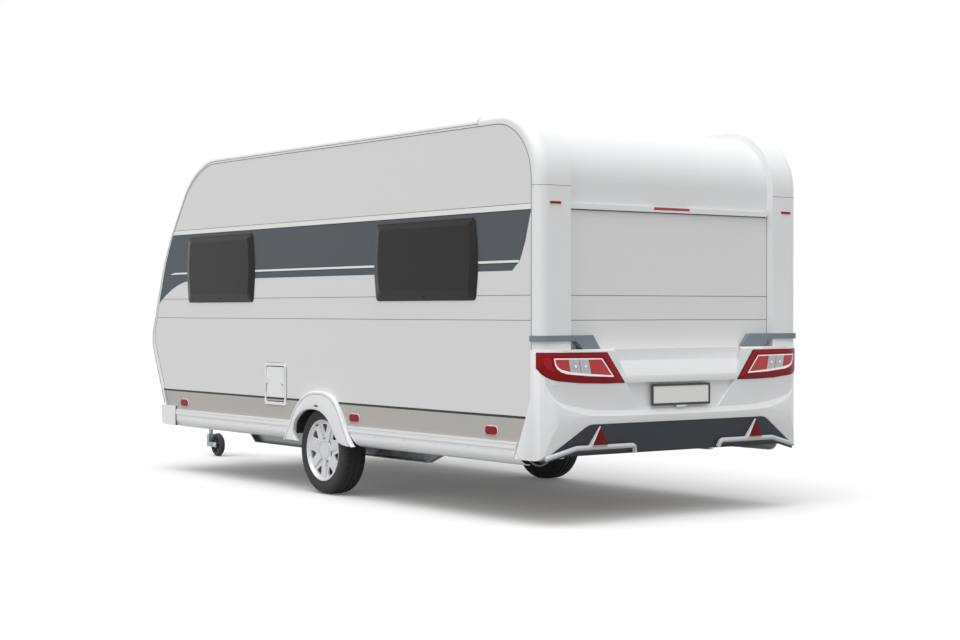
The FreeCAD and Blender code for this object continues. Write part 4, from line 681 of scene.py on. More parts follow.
class Graph:
    """One node material, built round its main shader."""

    def __init__(self, name: str, **settings: float | Paint) -> None:
        """Starts a material.

        Args:
            name: Name of the material.
            settings: Fixed values of the shader's own sockets, with _ for a space.
        """
        self.material = bpy.data.materials.new(name)
        self.material.use_nodes = True
        self.tree = self.material.node_tree
        self.shader = self.tree.nodes["Principled BSDF"]
        self.fill(self.shader, settings)
        self.place = self.tree.nodes.new("ShaderNodeTexCoord").outputs["Object"]
        self.normal: Socket | None = None

    def fill(self, node: bpy.types.Node, inputs: dict) -> None:
        """Sets or links a node's inputs by their names, with _ for a space."""
        for name, value in inputs.items():
            feed(self.tree, node.inputs[name.replace("_", " ")], value)

    def add(self, kind: str, output: str, **inputs: float | Paint | Socket) -> Socket:
        """Adds a node.

        Args:
            kind: The node's type without its common start.
            output: Name of the output that is wanted.
            inputs: Values or sockets by input name, with _ for a space.

        Returns:
            The node's output.
        """
        node = self.tree.nodes.new(f"ShaderNode{kind}")
        self.fill(node, inputs)
        return node.outputs[output]

    def turned(self, scale: Corner = (1, 1, 1), turn: Corner = (0, 0, 0)) -> Socket:
        """Stretches the place that a pattern reads and turns it, in degrees."""
        return self.add("Mapping", "Vector", Vector=self.place, Scale=scale,
                        Rotation=[math.radians(part) for part in turn])

    def noise(self, scale: float, detail: float = 2.0, place: Socket | None = None) -> Socket:
        """Adds a cloudy pattern with so many patches per metre and gives its value."""
        return self.add("TexNoise", "Fac", Vector=place or self.place, Scale=scale,
                        Detail=detail)

    def cells(self, scale: float, place: Socket | None = None) -> Socket:
        """Adds cells, so many per metre, and gives the distance from their middles."""
        return self.add("TexVoronoi", "Distance", Vector=place or self.place, Scale=scale)

    def waves(self, scale: float, axis: str, distortion: float = 0.0,
              place: Socket | None = None) -> Socket:
        """Adds straight bands.

        Args:
            scale: How close the bands are.
            axis: X, Y or Z, square to the bands.
            distortion: How far they wander.
            place: Where it is read, the piece's own place if left out.

        Returns:
            Its value from 0 to 1.
        """
        node = self.tree.nodes.new("ShaderNodeTexWave")
        node.bands_direction = axis
        self.fill(node, {"Vector": place or self.place, "Scale": scale,
                         "Distortion": distortion})
        return node.outputs["Fac"]

    def ramp(self, value: Socket, *stops: tuple[float, Paint]) -> Socket:
        """Turns a value into a colour.

        Args:
            value: The value from 0 to 1.
            stops: Places on the way from 0 to 1, each with its colour.

        Returns:
            The colour.
        """
        node = self.tree.nodes.new("ShaderNodeValToRGB")
        points = node.color_ramp.elements
        while len(points) < len(stops):
            points.new(0.5)
        for point, (place, colour) in zip(points, stops):
            point.position = place
            point.color = colour
        self.tree.links.new(value, node.inputs["Fac"])
        return node.outputs["Color"]

    def span(self, value: Socket, low: float, high: float) -> Socket:
        """Maps a value from 0 to 1 onto another span."""
        return self.add("MapRange", "Result", Value=value, To_Min=low, To_Max=high)

    def sum(self, first: Socket, second: Socket, share: float = 1.0) -> Socket:
        """Adds a share of a second value to a first one."""
        node = wired(self.tree, "Math", second, share, first, way="MULTIPLY_ADD")
        return node.outputs["Value"]

    def bump(self, height: Socket, strength: float, depth: float) -> None:
        """Adds relief to the surface, on top of any that it has.

        Args:
            height: The relief from 0 to 1.
            strength: How strongly it shows.
            depth: How deep it is.
        """
        inputs = {"Height": height, "Strength": strength, "Distance": depth}
        if self.normal is not None:
            inputs["Normal"] = self.normal
        self.normal = self.add("Bump", "Normal", **inputs)

    def finish(self, **inputs: Socket) -> bpy.types.Material:
        """Links what varies to the shader.

        Args:
            inputs: Sockets by shader input, with _ for a space.

        Returns:
            The finished material.
        """
        self.fill(self.shader, inputs)
        if self.normal is not None:
            self.fill(self.shader, {"Normal": self.normal})
        return self.material


@dataclass(frozen=True)
class Finish:
    """A finish that several pieces share, made once when it is first asked for."""

    slot: str
    colour: Paint
    roughness: float = 0.4

    def make(self, name: str) -> bpy.types.Material:
        """Builds the material; each kind of finish has its own way."""
        raise NotImplementedError(name)

    def shade(self, factor: float) -> Paint:
        """Gives the finish's colour, darker or lighter by a factor."""
        return (*[min(1.0, part * factor) for part in self.colour[:3]], 1.0)


@dataclass(frozen=True)
class Moulded(Finish):
    """Moulded plastic with a slight orange peel and a little road dust in cloudy patches."""

    coat: float = 0.35
    dust: float = 0.015
    gloss: float = 0.5

    def make(self, name: str) -> bpy.types.Material:
        """Builds the material.

        Args:
            name: Name of the material.

        Returns:
            The material.
        """
        graph = Graph(name, Coat_Weight=self.coat, Coat_Roughness=0.12,
                      Specular_IOR_Level=self.gloss)
        cloud = graph.noise(1.7, 1.0)
        colour = graph.ramp(cloud, (0.3, self.shade(1 - self.dust)), (0.7, self.colour))
        graph.bump(graph.noise(70, 3.0), 0.08, 0.0006)
        graph.bump(graph.noise(900, 2.0), 0.05, 0.0001)
        rough = graph.span(graph.noise(9, 3.0), self.roughness * 0.96, self.roughness * 1.04)
        return graph.finish(Base_Color=colour, Roughness=rough)


@dataclass(frozen=True)
class Hammered(Finish):
    """Painted sheet metal with an embossed, hammered surface."""

    pitch: float = 95.0
    stretch: Corner = (1.0, 1.0, 1.0)
    turn: Corner = (0.0, 0.0, 0.0)
    relief: float = 0.3

    def make(self, name: str) -> bpy.types.Material:
        """Builds the material.

        Args:
            name: Name of the material.

        Returns:
            The material.
        """
        graph = Graph(name, Coat_Weight=0.2, Coat_Roughness=0.2)
        place = graph.turned(self.stretch, self.turn)
        hammer = graph.cells(self.pitch, place)
        grain = graph.noise(self.pitch * 1.7, 2.0, place)
        relief = graph.sum(hammer, grain, 0.8)
        # The dents of the hammered relief are painted slightly darker than its ridges: painted
        # shade in the dents.
        colour = graph.ramp(relief, (0.25, self.shade(0.965)), (0.95, self.colour))
        graph.bump(relief, self.relief, 0.0012)
        graph.bump(graph.noise(3.0, 1.0), 0.04, 0.02)
        rough = graph.span(grain, self.roughness * 0.85, self.roughness * 1.2)
        return graph.finish(Base_Color=colour, Roughness=rough)


@dataclass(frozen=True)
class Film(Finish):
    """Printed film stuck on the sheet, which lets the hammered surface through."""

    relief: float = 0.16

    def make(self, name: str) -> bpy.types.Material:
        """Builds the material.

        Args:
            name: Name of the material.

        Returns:
            The material.
        """
        graph = Graph(name, Specular_IOR_Level=0.3)
        hammer = graph.cells(95)
        grain = graph.noise(160, 2.0)
        relief = graph.sum(hammer, grain, 0.8)
        mottle = graph.ramp(graph.noise(420, 4.0), (0.3, self.shade(0.9)), (0.7, self.shade(1.08)))
        graph.bump(relief, self.relief, 0.0012)
        return graph.finish(Base_Color=mottle,
                            Roughness=graph.span(grain, self.roughness, self.roughness + 0.12))


@dataclass(frozen=True)
class Glazing(Finish):
    """Smoked acrylic with a drawn pleated blind showing faintly behind it."""

    pleat: float = 26.0
    axis: str = "X"

    def make(self, name: str) -> bpy.types.Material:
        """Builds the material.

        Args:
            name: Name of the material.

        Returns:
            The material.
        """
        graph = Graph(name, Specular_IOR_Level=0.16)
        pleats = graph.waves(self.pleat, self.axis, 0.6)
        wide = graph.noise(2.2, 2.0)
        shown = graph.sum(pleats, wide, 0.9)
        # The blind behind the pane is painted into its colour, its pleats as lighter stripes of
        # painted light and shade.
        colour = graph.ramp(shown, (0.5, self.colour), (1.0, self.shade(1.5)))
        graph.bump(graph.noise(1.6, 1.0), 0.05, 0.02)
        return graph.finish(Base_Color=colour,
                            Roughness=graph.span(graph.noise(14, 3.0), self.roughness,
                                                 self.roughness + 0.06))


@dataclass(frozen=True)
class Lens(Finish):
    """Lamp plastic with fine prisms inside."""

    prisms: float = 190.0
    depth: float = 0.25
    coat: float = 0.35

    def make(self, name: str) -> bpy.types.Material:
        """Builds the material.

        Args:
            name: Name of the material.

        Returns:
            The material.
        """
        graph = Graph(name, Coat_Weight=self.coat, Coat_Roughness=0.04,
                      Specular_IOR_Level=0.14)
        upright = graph.waves(self.prisms, "Y")
        level = graph.waves(self.prisms, "Z")
        prisms = graph.sum(upright, level, 1.0)
        # The prism grid is painted darker in its hollows and lighter on its ridges: painted light
        # and shade of the prisms.
        colour = graph.ramp(graph.span(prisms, 0.0, 0.5), (0.0, self.shade(0.75)),
                            (1.0, self.shade(1.15)))
        graph.bump(prisms, self.depth, 0.0005)
        return graph.finish(Base_Color=colour,
                            Roughness=graph.span(prisms, self.roughness, self.roughness + 0.05))


@dataclass(frozen=True)
class Metal(Finish):
    """Bare or plated metal with spangle."""

    spangle: float = 120.0
    metallic: float = 1.0
    wear: float = 0.25

    def make(self, name: str) -> bpy.types.Material:
        """Builds the material.

        Args:
            name: Name of the material.

        Returns:
            The material.
        """
        graph = Graph(name, Metallic=self.metallic)
        flakes = graph.add("TexVoronoi", "Color", Vector=graph.place, Scale=self.spangle)
        grey = graph.add("RGBToBW", "Val", Color=flakes)
        cloud = graph.noise(11, 4.0)
        mixed = graph.sum(cloud, grey, 0.35)
        colour = graph.ramp(mixed, (0.35, self.shade(1 - self.wear)), (0.95, self.shade(1.1)))
        graph.bump(graph.noise(260, 4.0), 0.15, 0.0003)
        rough = graph.span(mixed, self.roughness * 0.75, self.roughness * 1.35)
        return graph.finish(Base_Color=colour, Roughness=rough)


@dataclass(frozen=True)
class Rubber(Finish):
    """Black rubber or grained plastic, paler where dust has settled."""

    grain: float = 700.0
    dust: float = 1.9

    def make(self, name: str) -> bpy.types.Material:
        """Builds the material.

        Args:
            name: Name of the material.

        Returns:
            The material.
        """
        graph = Graph(name, Specular_IOR_Level=0.22)
        cloud = graph.noise(14, 5.0)
        colour = graph.ramp(cloud, (0.35, self.colour), (0.8, self.shade(self.dust)))
        graph.bump(graph.noise(self.grain, 3.0), 0.25, 0.0004)
        rough = graph.span(cloud, self.roughness, min(1.0, self.roughness + 0.15))
        return graph.finish(Base_Color=colour, Roughness=rough)


@dataclass(frozen=True)
class Board(Finish):
    """Sealed plywood with its grain along the caravan."""

    def make(self, name: str) -> bpy.types.Material:
        """Builds the material.

        Args:
            name: Name of the material.

        Returns:
            The material.
        """
        graph = Graph(name)
        place = graph.turned((0.12, 1.0, 1.0))
        grain = graph.noise(60, 6.0, place)
        colour = graph.ramp(grain, (0.35, self.shade(0.7)), (0.65, self.colour))
        graph.bump(grain, 0.2, 0.0006)
        return graph.finish(Base_Color=colour,
                            Roughness=graph.span(grain, self.roughness, self.roughness + 0.2))


@dataclass(frozen=True)
class Cloth(Finish):
    """Pleated blind fabric with a fine weave."""

    def make(self, name: str) -> bpy.types.Material:
        """Builds the material.

        Args:
            name: Name of the material.

        Returns:
            The material.
        """
        graph = Graph(name, Sheen_Weight=0.3)
        pleats = graph.waves(26, "X")
        weave = graph.sum(graph.waves(900, "X"), graph.waves(900, "Z"), 1.0)
        # The troughs of the pleats are painted darker than their crests: painted shade in the
        # folds.
        colour = graph.ramp(pleats, (0.1, self.shade(0.8)), (0.9, self.colour))
        graph.bump(pleats, 0.5, 0.004)
        graph.bump(weave, 0.3, 0.0002)
        return graph.finish(Base_Color=colour)


@dataclass(frozen=True)
class Plate(Finish):
    """Reflective plate sheeting with a fine honeycomb."""

    def make(self, name: str) -> bpy.types.Material:
        """Builds the material.

        Args:
            name: Name of the material.

        Returns:
            The material.
        """
        graph = Graph(name, Coat_Weight=0.5, Coat_Roughness=0.1)
        comb = graph.cells(330)
        colour = graph.ramp(comb, (0.2, self.colour), (0.8, self.shade(0.9)))
        graph.bump(comb, 0.1, 0.0001)
        return graph.finish(Base_Color=colour)


class Look(Enum):
    """The finishes on the caravan."""

    MOULDED_WHITE = Moulded("white_moulding", tint(238, 239, 240), 0.32)
    BUMPER_WHITE = Moulded("white_moulding", tint(240, 241, 242), 0.28, 0.5)
    ROOF_WHITE = Moulded("white_sheet", tint(234, 235, 236), 0.34)
    SIDE_SHEET = Hammered("white_sheet", tint(226, 226, 226), 0.42)
    REAR_SHEET = Hammered("white_sheet", tint(232, 232, 232), 0.4, 70.0, (1.0, 1.0, 2.4),
                          (35.0, 0.0, 0.0), 0.35)
    SLATE_FILM = Film("white_sheet", tint(78, 85, 91), 0.5)
    WHITE_FILM = Film("white_sheet", tint(244, 244, 242), 0.35, 0.06)
    BLACK_FILM = Film("white_sheet", tint(34, 34, 36), 0.4)
    GREY_FILM = Film("white_sheet", tint(112, 112, 114), 0.4)
    TAUPE_FILM = Film("white_sheet", tint(186, 183, 180), 0.42, 0.2)
    SLATE_PLASTIC = Moulded("slate_plastic", tint(74, 82, 91), 0.38, 0.1, 0.1, 0.3)
    INSERT_SLATE = Moulded("slate_plastic", tint(60, 65, 72), 0.5, 0.0, 0.1, 0.2)
    SILVER_TRIM = Moulded("silver_trim", tint(214, 215, 217), 0.24, 0.6)
    BRIGHT_TRIM = Metal("silver_trim", tint(222, 222, 224), 0.16, 40.0, 0.85, 0.05)
    BLACK_PLASTIC = Rubber("black_plastic", tint(28, 28, 30), 0.45, 900.0, 1.5)
    SEAM_SHADOW = Rubber("black_rubber", tint(96, 97, 99), 0.7, 500.0, 1.2)
    WINDOW_GLAZING = Glazing("dark_glazing", tint(28, 28, 29), 0.16)
    WINDOW_EDGE = Glazing("dark_glazing", tint(14, 14, 15), 0.14, 9.0)
    BLIND = Cloth("blind_fabric", tint(92, 90, 88), 0.8)
    DOME = Lens("clear_dome", tint(214, 218, 220), 0.2, 60.0, 0.1)
    FLOOR_BOARD = Board("floor_board", tint(148, 120, 88), 0.5)
    ZINC = Metal("zinc_steel", tint(168, 172, 176), 0.42, 90.0, 0.85, 0.3)
    STEEL = Metal("zinc_steel", tint(196, 198, 200), 0.26, 60.0, 1.0, 0.15)
    IRON = Rubber("black_iron", tint(34, 35, 38), 0.45, 240.0, 1.6)
    DRUM = Metal("cast_drum", tint(92, 92, 94), 0.6, 150.0, 0.6, 0.35)
    ALLOY = Metal("alloy_silver", tint(214, 215, 217), 0.34, 700.0, 0.3, 0.04)
    TYRE = Rubber("tyre", tint(18, 18, 19), 0.8, 500.0, 1.5)
    BLACK_RUBBER = Rubber("black_rubber", tint(22, 22, 23), 0.6, 800.0, 1.6)
    RED_LENS = Lens("red_lens", tint(168, 6, 10), 0.26, 190.0, 0.25, 0.05)
    DARK_RED = Lens("red_lens", tint(112, 12, 14), 0.3, 150.0, 0.2, 0.02)
    RIM_RED = Lens("red_lens", tint(70, 6, 12), 0.3, 60.0, 0.05, 0.02)
    PALE_RED = Lens("red_lens", tint(176, 22, 44), 0.25, 60.0, 0.05, 0.1)
    DEEP_RED = Lens("red_lens", tint(146, 4, 12), 0.3, 60.0, 0.05, 0.05)
    CLEAR_LENS = Lens("clear_dome", tint(214, 214, 216), 0.12, 150.0, 0.4)
    PLATE_WHITE = Plate("plate_white", tint(236, 236, 234), 0.35)

    @property
    def material(self) -> bpy.types.Material:
        """The finish's material, made when it is first asked for."""
        name = self.name.lower()
        return bpy.data.materials.get(name) or self.value.make(name)


@dataclass
class Assembly:
    """What the sub-assemblies share: they dress CAD nodes and seat new pieces."""

    body: str = "caravan"
    made: int = field(default=0, init=False)

    def dress(self, look: Look, *nodes: str) -> None:
        """Gives CAD nodes their finish.

        Args:
            look: The finish.
            nodes: Names of the CAD nodes.
        """
        for name in nodes:
            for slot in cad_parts[name].material_slots:
                slot.material = look.material

    def seat(self, piece: Shape, look: Look, body: str | None = None,
             stands_for: tuple[str, ...] = ()) -> Shape:
        """Dresses a new piece and seats it on its body.

        Args:
            piece: The finished mesh, in its place.
            look: Its finish.
            body: The CAD body that it rides on, the assembly's own if left out.
            stands_for: CAD nodes that it replaces.

        Returns:
            The seated piece.
        """
        piece.data.materials.clear()
        piece.data.materials.append(look.material)
        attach(piece, body or self.body)
        if stands_for:
            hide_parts(*stands_for)
        self.made += 1
        return piece

    def seat_pair(self, piece: Shape, name: str, look: Look) -> None:
        """Seats a left piece and its mirror image on the right as two pieces.

        Args:
            piece: The left piece, which is used up.
            name: Start of both names.
            look: Their finish.
        """
        for side in Side:
            self.seat(Bench.on_side(piece, name, side), look)
        bpy.data.objects.remove(piece)

    def seat_joined(self, piece: Shape, name: str, look: Look, stands_for: str) -> None:
        """Seats a left piece and its mirror image as one piece.

        Args:
            piece: The left piece, which is used up.
            name: Name of the joined piece.
            look: Its finish.
            stands_for: The CAD node that it replaces.
        """
        both = [Bench.on_side(piece, name, side) for side in Side]
        bpy.data.objects.remove(piece)
        self.seat(Bench.join(name, *both), look, stands_for=(stands_for,))

    def seat_on(self, side: Side, piece: Shape, name: str, look: Look,
                stands_for: tuple[str, ...] = ()) -> None:
        """Seats a piece that was made for the left side on one side, and uses it up."""
        self.seat(Bench.copy(piece, name, side.mirror), look, stands_for=stands_for)
        bpy.data.objects.remove(piece)

    def key_lock(self, name: str, place: Corner, radius: float, side: Side, body: str) -> None:
        """Seats a round lock and the slit in it.

        Args:
            name: Name of the lock.
            place: Its middle, on the face that it sits in.
            radius: Its radius.
            side: The side that it faces.
            body: The body that it rides on.
        """
        out, root, rim, crown, slit_out = side.value, 0.001, 0.004, 0.0045, 0.0052
        lock = Bench.turned(name, "y", place, [
            (-out * root, 0.0), (-out * root, radius), (out * rim, radius, 0.002),
            (out * crown, 0.0)], 28)
        self.seat(lock, Look.SILVER_TRIM, body)
        x, y, z = place
        low, high = sorted((y + out * rim, y + out * slit_out))
        slit = Bench.plate(f"{name}_slit", "y", low, high, centred(x, z, 0.0015, 0.007))
        self.seat(slit, Look.BLACK_PLASTIC, body)

    def build(self) -> None:
        """Builds and dresses the sub-assembly."""
        raise NotImplementedError


@dataclass
class Cabin(Assembly):
    """Walls, roof, mouldings, caps and pillars, with the seams between them."""

    half: float = SKIN
    seam: float = 0.0022
    channel: float = 0.0018
    joint_share: float = 0.6
    seam_path: tuple[Corner, ...] = (
        (-3.253, 0.535), (-3.253, 2.573, 0.370), (1.284, 2.573, 0.660),
        (1.801, 1.880, 1.500), (2.069, 1.150, 0.190), (1.784, 0.557))
    rail_path: tuple[Corner, ...] = (
        (-2.684, 2.590), (1.288, 2.590, 0.680), (1.838, 1.852, 1.560),
        (2.110, 1.113, 0.240), (1.866, 0.582))
    cap_low: float = 2.160
    cap_rear: float = -3.256
    cap_front: float = -2.684
    cap_levels: Span = (2.575, 2.630)
    centre_half: float = 0.902
    pillar_rear: float = -3.342

    def build(self) -> None:
        """Dresses the shell and draws its seams."""
        self.dress(Look.SIDE_SHEET, "side_wall_left", "side_wall_right")
        self.dress(Look.REAR_SHEET, "rear_wall")
        self.dress(Look.ROOF_WHITE, "roof_panel", "front_wall", "locker_lid")
        self.dress(Look.MOULDED_WHITE, "edge_mouldings", "rear_caps", "rear_pillars",
                   "front_corners", "side_skirts")
        self.dress(Look.FLOOR_BOARD, "floor_panel", "locker_linings")
        self.dress(Look.BLACK_PLASTIC, "wheel_tubs")
        self.dress(Look.DOME, "roof_hatches")
        self.side_seams()
        self.cap_seams()

    def side_seams(self) -> None:
        """Draws the joint between side sheet and mouldings, and the awning channel."""
        for word, path, radius in (("sheet_seam", self.seam_path, self.seam),
                                   ("awning_channel", self.rail_path, self.channel)):
            points = [(x, self.half, z, *bend) for x, z, *bend in path]
            self.seat_pair(Bench.tube(word, points, radius, sides=6), word, Look.SEAM_SHADOW)

    def cap_seams(self) -> None:
        """Draws the joints between caps, pillars, centre panel and roof mouldings."""
        half, edge, front, rear = self.half, self.centre_half, self.cap_front, self.pillar_rear
        low, top = self.cap_levels
        across = [(self.cap_rear, half, self.cap_low), (rear, half, self.cap_low, 0.070),
                  (rear, edge, self.cap_low)]
        upright = [(front, half, low), (front, half, top, 0.030), (front, edge, top)]
        for word, path in (("cap_joint", across), ("cap_front_joint", upright)):
            joint = Bench.tube(word, path, self.seam * self.joint_share, sides=6)
            self.seat_pair(joint, word, Look.SEAM_SHADOW)


@dataclass
class SideDecor(Assembly):
    """The printed films on both sides, cut round windows, hatch and door."""

    film: float = 0.0004
    sunk: float = 0.0002
    layer_share: float = 0.4
    far: float = 2.2
    cut_span: Span = (1.0, 1.3)
    slate_top: float = 2.005
    slate_low: float = 1.625
    slant: tuple[Corner, ...] = ((-3.250, 2.005), (-3.192, 1.810), (-3.139, 1.693),
                                 (-3.056, 1.625))
    sweep_start: float = 1.296
    sweep_radius: float = 1.250
    sweep_low: float = 1.40
    nose: tuple[Corner, ...] = ((-3.4, 0.457), (-3.4, 2.571), (1.284, 2.571, 0.660),
                                (1.799, 1.880, 1.500), (2.067, 1.150, 0.190), (1.784, 0.457))
    stripe: Span = (1.676, 1.692)
    bands: tuple[tuple[str, float, float, float, Look], ...] = (
        ("top_line", -3.250, 2.004, 2.010, Look.BLACK_FILM),
        ("top_band", -3.252, 2.010, 2.044, Look.WHITE_FILM),
        ("top_pinstripe", -3.250, 2.044, 2.048, Look.GREY_FILM),
        ("low_line", -3.194, 0.685, 0.701, Look.BLACK_FILM),
        ("low_band", -3.190, 0.534, 0.685, Look.TAUPE_FILM),
        *((f"pinstripe{number}", -3.250, level, level + PINSTRIPE_HIGH, Look.GREY_FILM)
          for number, level in enumerate(PINSTRIPES, start=1)))
    arch: tuple[Corner, ...] = ((-1.100, 0.400), (-0.268, 0.400), (-0.309, 0.703, 0.235),
                                (-1.059, 0.703, 0.235))
    hatch: Bounds = (-0.206, 0.643, 0.119, 0.964)
    door: Bounds = (0.096, 0.545, 0.716, 2.300)
    door_window: Bounds = (0.206, 1.480, 0.606, 2.000)
    door_bend: float = 0.060
    door_gap: float = 0.007
    flap: Bounds = (-0.177, 0.672, 0.090, 0.935)
    flap_face: float = 1.155

    def sheets(self) -> dict[str, tuple[Shape, Look]]:
        """Makes the films of the left side, before they are cut.

        Returns:
            Each film with its finish, by its name.
        """
        slate = self.strip("slate", [
            *self.slant, (self.sweep_start, self.slate_low), (self.sweep_start, self.sweep_low),
            (self.far, self.sweep_low), (self.far, self.slate_top)])
        Bench.carve(slate, self.cutter(self.circle(
            self.sweep_start, self.slate_low - self.sweep_radius, self.sweep_radius)))
        low, high = self.stripe
        white = [(-3.120, low), (1.700, low), (1.753, low - 0.002), (1.720, low + 0.008),
                 (1.660, high - 0.001), (-3.128, high)]
        under = [(-3.118, low - 0.006), (1.770, low - 0.006), (1.720, low + 0.010),
                 (1.660, high + 0.003), (-3.131, high + 0.003)]
        films = {name: (self.strip(name, rectangle(start, bottom, self.far, top)), look)
                 for name, start, bottom, top, look in self.bands}
        return {"slate_band": (slate, Look.SLATE_FILM), **films,
                "stripe_edge": (self.strip("stripe_edge", under, 1), Look.BLACK_FILM),
                "white_stripe": (self.strip("white_stripe", white, 2), Look.WHITE_FILM)}

    def circle(self, h: float, v: float, radius: float, count: int = 160) -> list[Corner]:
        """Gives the corners of a circle about a middle."""
        turns = [math.tau * step / count for step in range(count)]
        return [(h + radius * math.cos(turn), v + radius * math.sin(turn)) for turn in turns]

    def strip(self, name: str, corners: list[Corner], layer: int = 0) -> Shape:
        """Makes a film of any outline on the left side, over as many films as it has."""
        face = SKIN + self.film * (1 + self.layer_share * layer)
        return Bench.plate(name, "y", SKIN - self.sunk, face, corners)

    def cutter(self, corners: list[Corner]) -> Shape:
        """Makes a solid of any outline that goes through all films of the left side."""
        return Bench.plate("cutter", "y", *self.cut_span, corners)

    def cutters(self, side: Side) -> list[Shape]:
        """Makes the solids that are cut out of one side's films.

        Args:
            side: The side.

        Returns:
            One solid for each window and the wheel arch, and for the hatch or the door.
        """
        opening = (rectangle(*self.hatch, 0.044) if side is Side.LEFT
                   else rectangle(*self.door, self.door_bend))
        panes = [pane_outline(start, end, -0.004) for start, end in PANES[side]]
        return [self.cutter(corners) for corners in (*panes, list(self.arch), opening)]

    def cut(self, film: Shape, keep: list[Shape], take: list[Shape]) -> Shape:
        """Trims a film.

        Args:
            film: The film.
            keep: Solids that it is left within.
            take: Solids that are cut out of it.

        Returns:
            The trimmed film.
        """
        for tools, way in ((keep, "INTERSECT"), (take, "DIFFERENCE")):
            for tool in tools:
                Bench.carve(film, tool, way, keep_tool=True)
        return film

    def build(self) -> None:
        """Cuts the films for both sides, the door and the service flap."""
        nose = self.cutter(list(self.nose))
        tools = {side: self.cutters(side) for side in Side}
        leaf = self.cutter(grown(self.door, -self.door_gap, self.door_bend))
        glass = self.cutter(rectangle(*self.door_window, self.door_bend))
        flap = self.cutter(rectangle(*self.flap, 0.013))
        for name, (whole, look) in self.sheets().items():
            self.cut(whole, [nose], [])
            for side in Side:
                film = self.cut(Bench.copy(whole, f"film_{name}_{side.word}"), [], tools[side])
                Bench.change(film, side.mirror)
                self.seat(film, look)
            on_door = self.cut(Bench.copy(whole, f"film_{name}_door"), [leaf], [glass])
            Bench.change(on_door, Side.RIGHT.mirror)
            self.seat(on_door, look, "entrance_door")
            if name in ("low_line", "low_band"):
                on_flap = Bench.copy(whole, f"film_{name}_flap", Matrix.Translation(
                    (0, self.flap_face - SKIN, 0)))
                self.seat(self.cut(on_flap, [flap], []), look, "service_flap")
            bpy.data.objects.remove(whole)
        for tool in (nose, leaf, glass, flap, *tools[Side.LEFT], *tools[Side.RIGHT]):
            bpy.data.objects.remove(tool)


@dataclass
class RearPanel(Assembly):
    """The trim bar with its brake light, and the lines on the rear panel."""

    face: float = -3.284
    half: float = 0.900
    trim_levels: Span = (2.020, 2.054)
    shadow_half: float = 0.892
    brake_half: float = 0.158
    brake_bend: float = 0.006
    edge: float = 0.902
    edge_levels: Span = (1.215, 2.020)

    def build(self) -> None:
        """Dresses the trim and adds the brake light and the lines."""
        self.dress(Look.MOULDED_WHITE, "rear_trim")
        face, half, (low, high) = self.face, self.brake_half, self.trim_levels
        lens = Bench.pad("brake_light", "x", face - 0.016, face - 0.005, rectangle(
            -half, low + 0.0165, half, high - 0.0035, self.brake_bend), 0.001)
        self.seat(lens, Look.RED_LENS)
        slot = Bench.plate("brake_light_slot", "x", face - 0.0085, face - 0.004, rectangle(
            -half - 0.003, low + 0.0135, half + 0.003, high - 0.001, self.brake_bend))
        self.seat(slot, Look.BLACK_PLASTIC)
        shadow = Bench.plate("trim_shadow", "x", face - 0.004, face, rectangle(
            -self.shadow_half, low - 0.006, self.shadow_half, low + 0.001))
        self.seat(shadow, Look.SEAM_SHADOW)
        for number, level in enumerate(PINSTRIPES, start=1):
            line = Bench.plate(f"rear_line{number}", "x", face - 0.0006, face + 0.001, rectangle(
                -self.half, level, self.half, level + PINSTRIPE_HIGH))
            self.seat(line, Look.GREY_FILM)
        for side in Side:
            ends = [(face, side.value * self.edge, level) for level in self.edge_levels]
            self.seat(Bench.tube(f"panel_edge_{side.word}", ends, 0.002, sides=6),
                      Look.SEAM_SHADOW)


def bumper_slab(name: str, proud: float, low: float, high: float) -> Shape:
    """Makes the bumper's outline from above as a solid, grown by a margin.

    Args:
        name: Name of the solid.
        proud: How far its sides are moved out.
        low: Its lower level.
        high: Its upper level.

    Returns:
        The solid.
    """
    half, centre, edge = 1.158 + proud, -3.400 - proud, -3.380 - proud
    left = [(centre, 0.700, 1.2), (edge, half, 0.170 + proud), (-3.253, half)]
    right = [(x, -y, *bend) for x, y, *bend in reversed(left)]
    return Bench.plate(name, "z", low, high, [*right, *left])


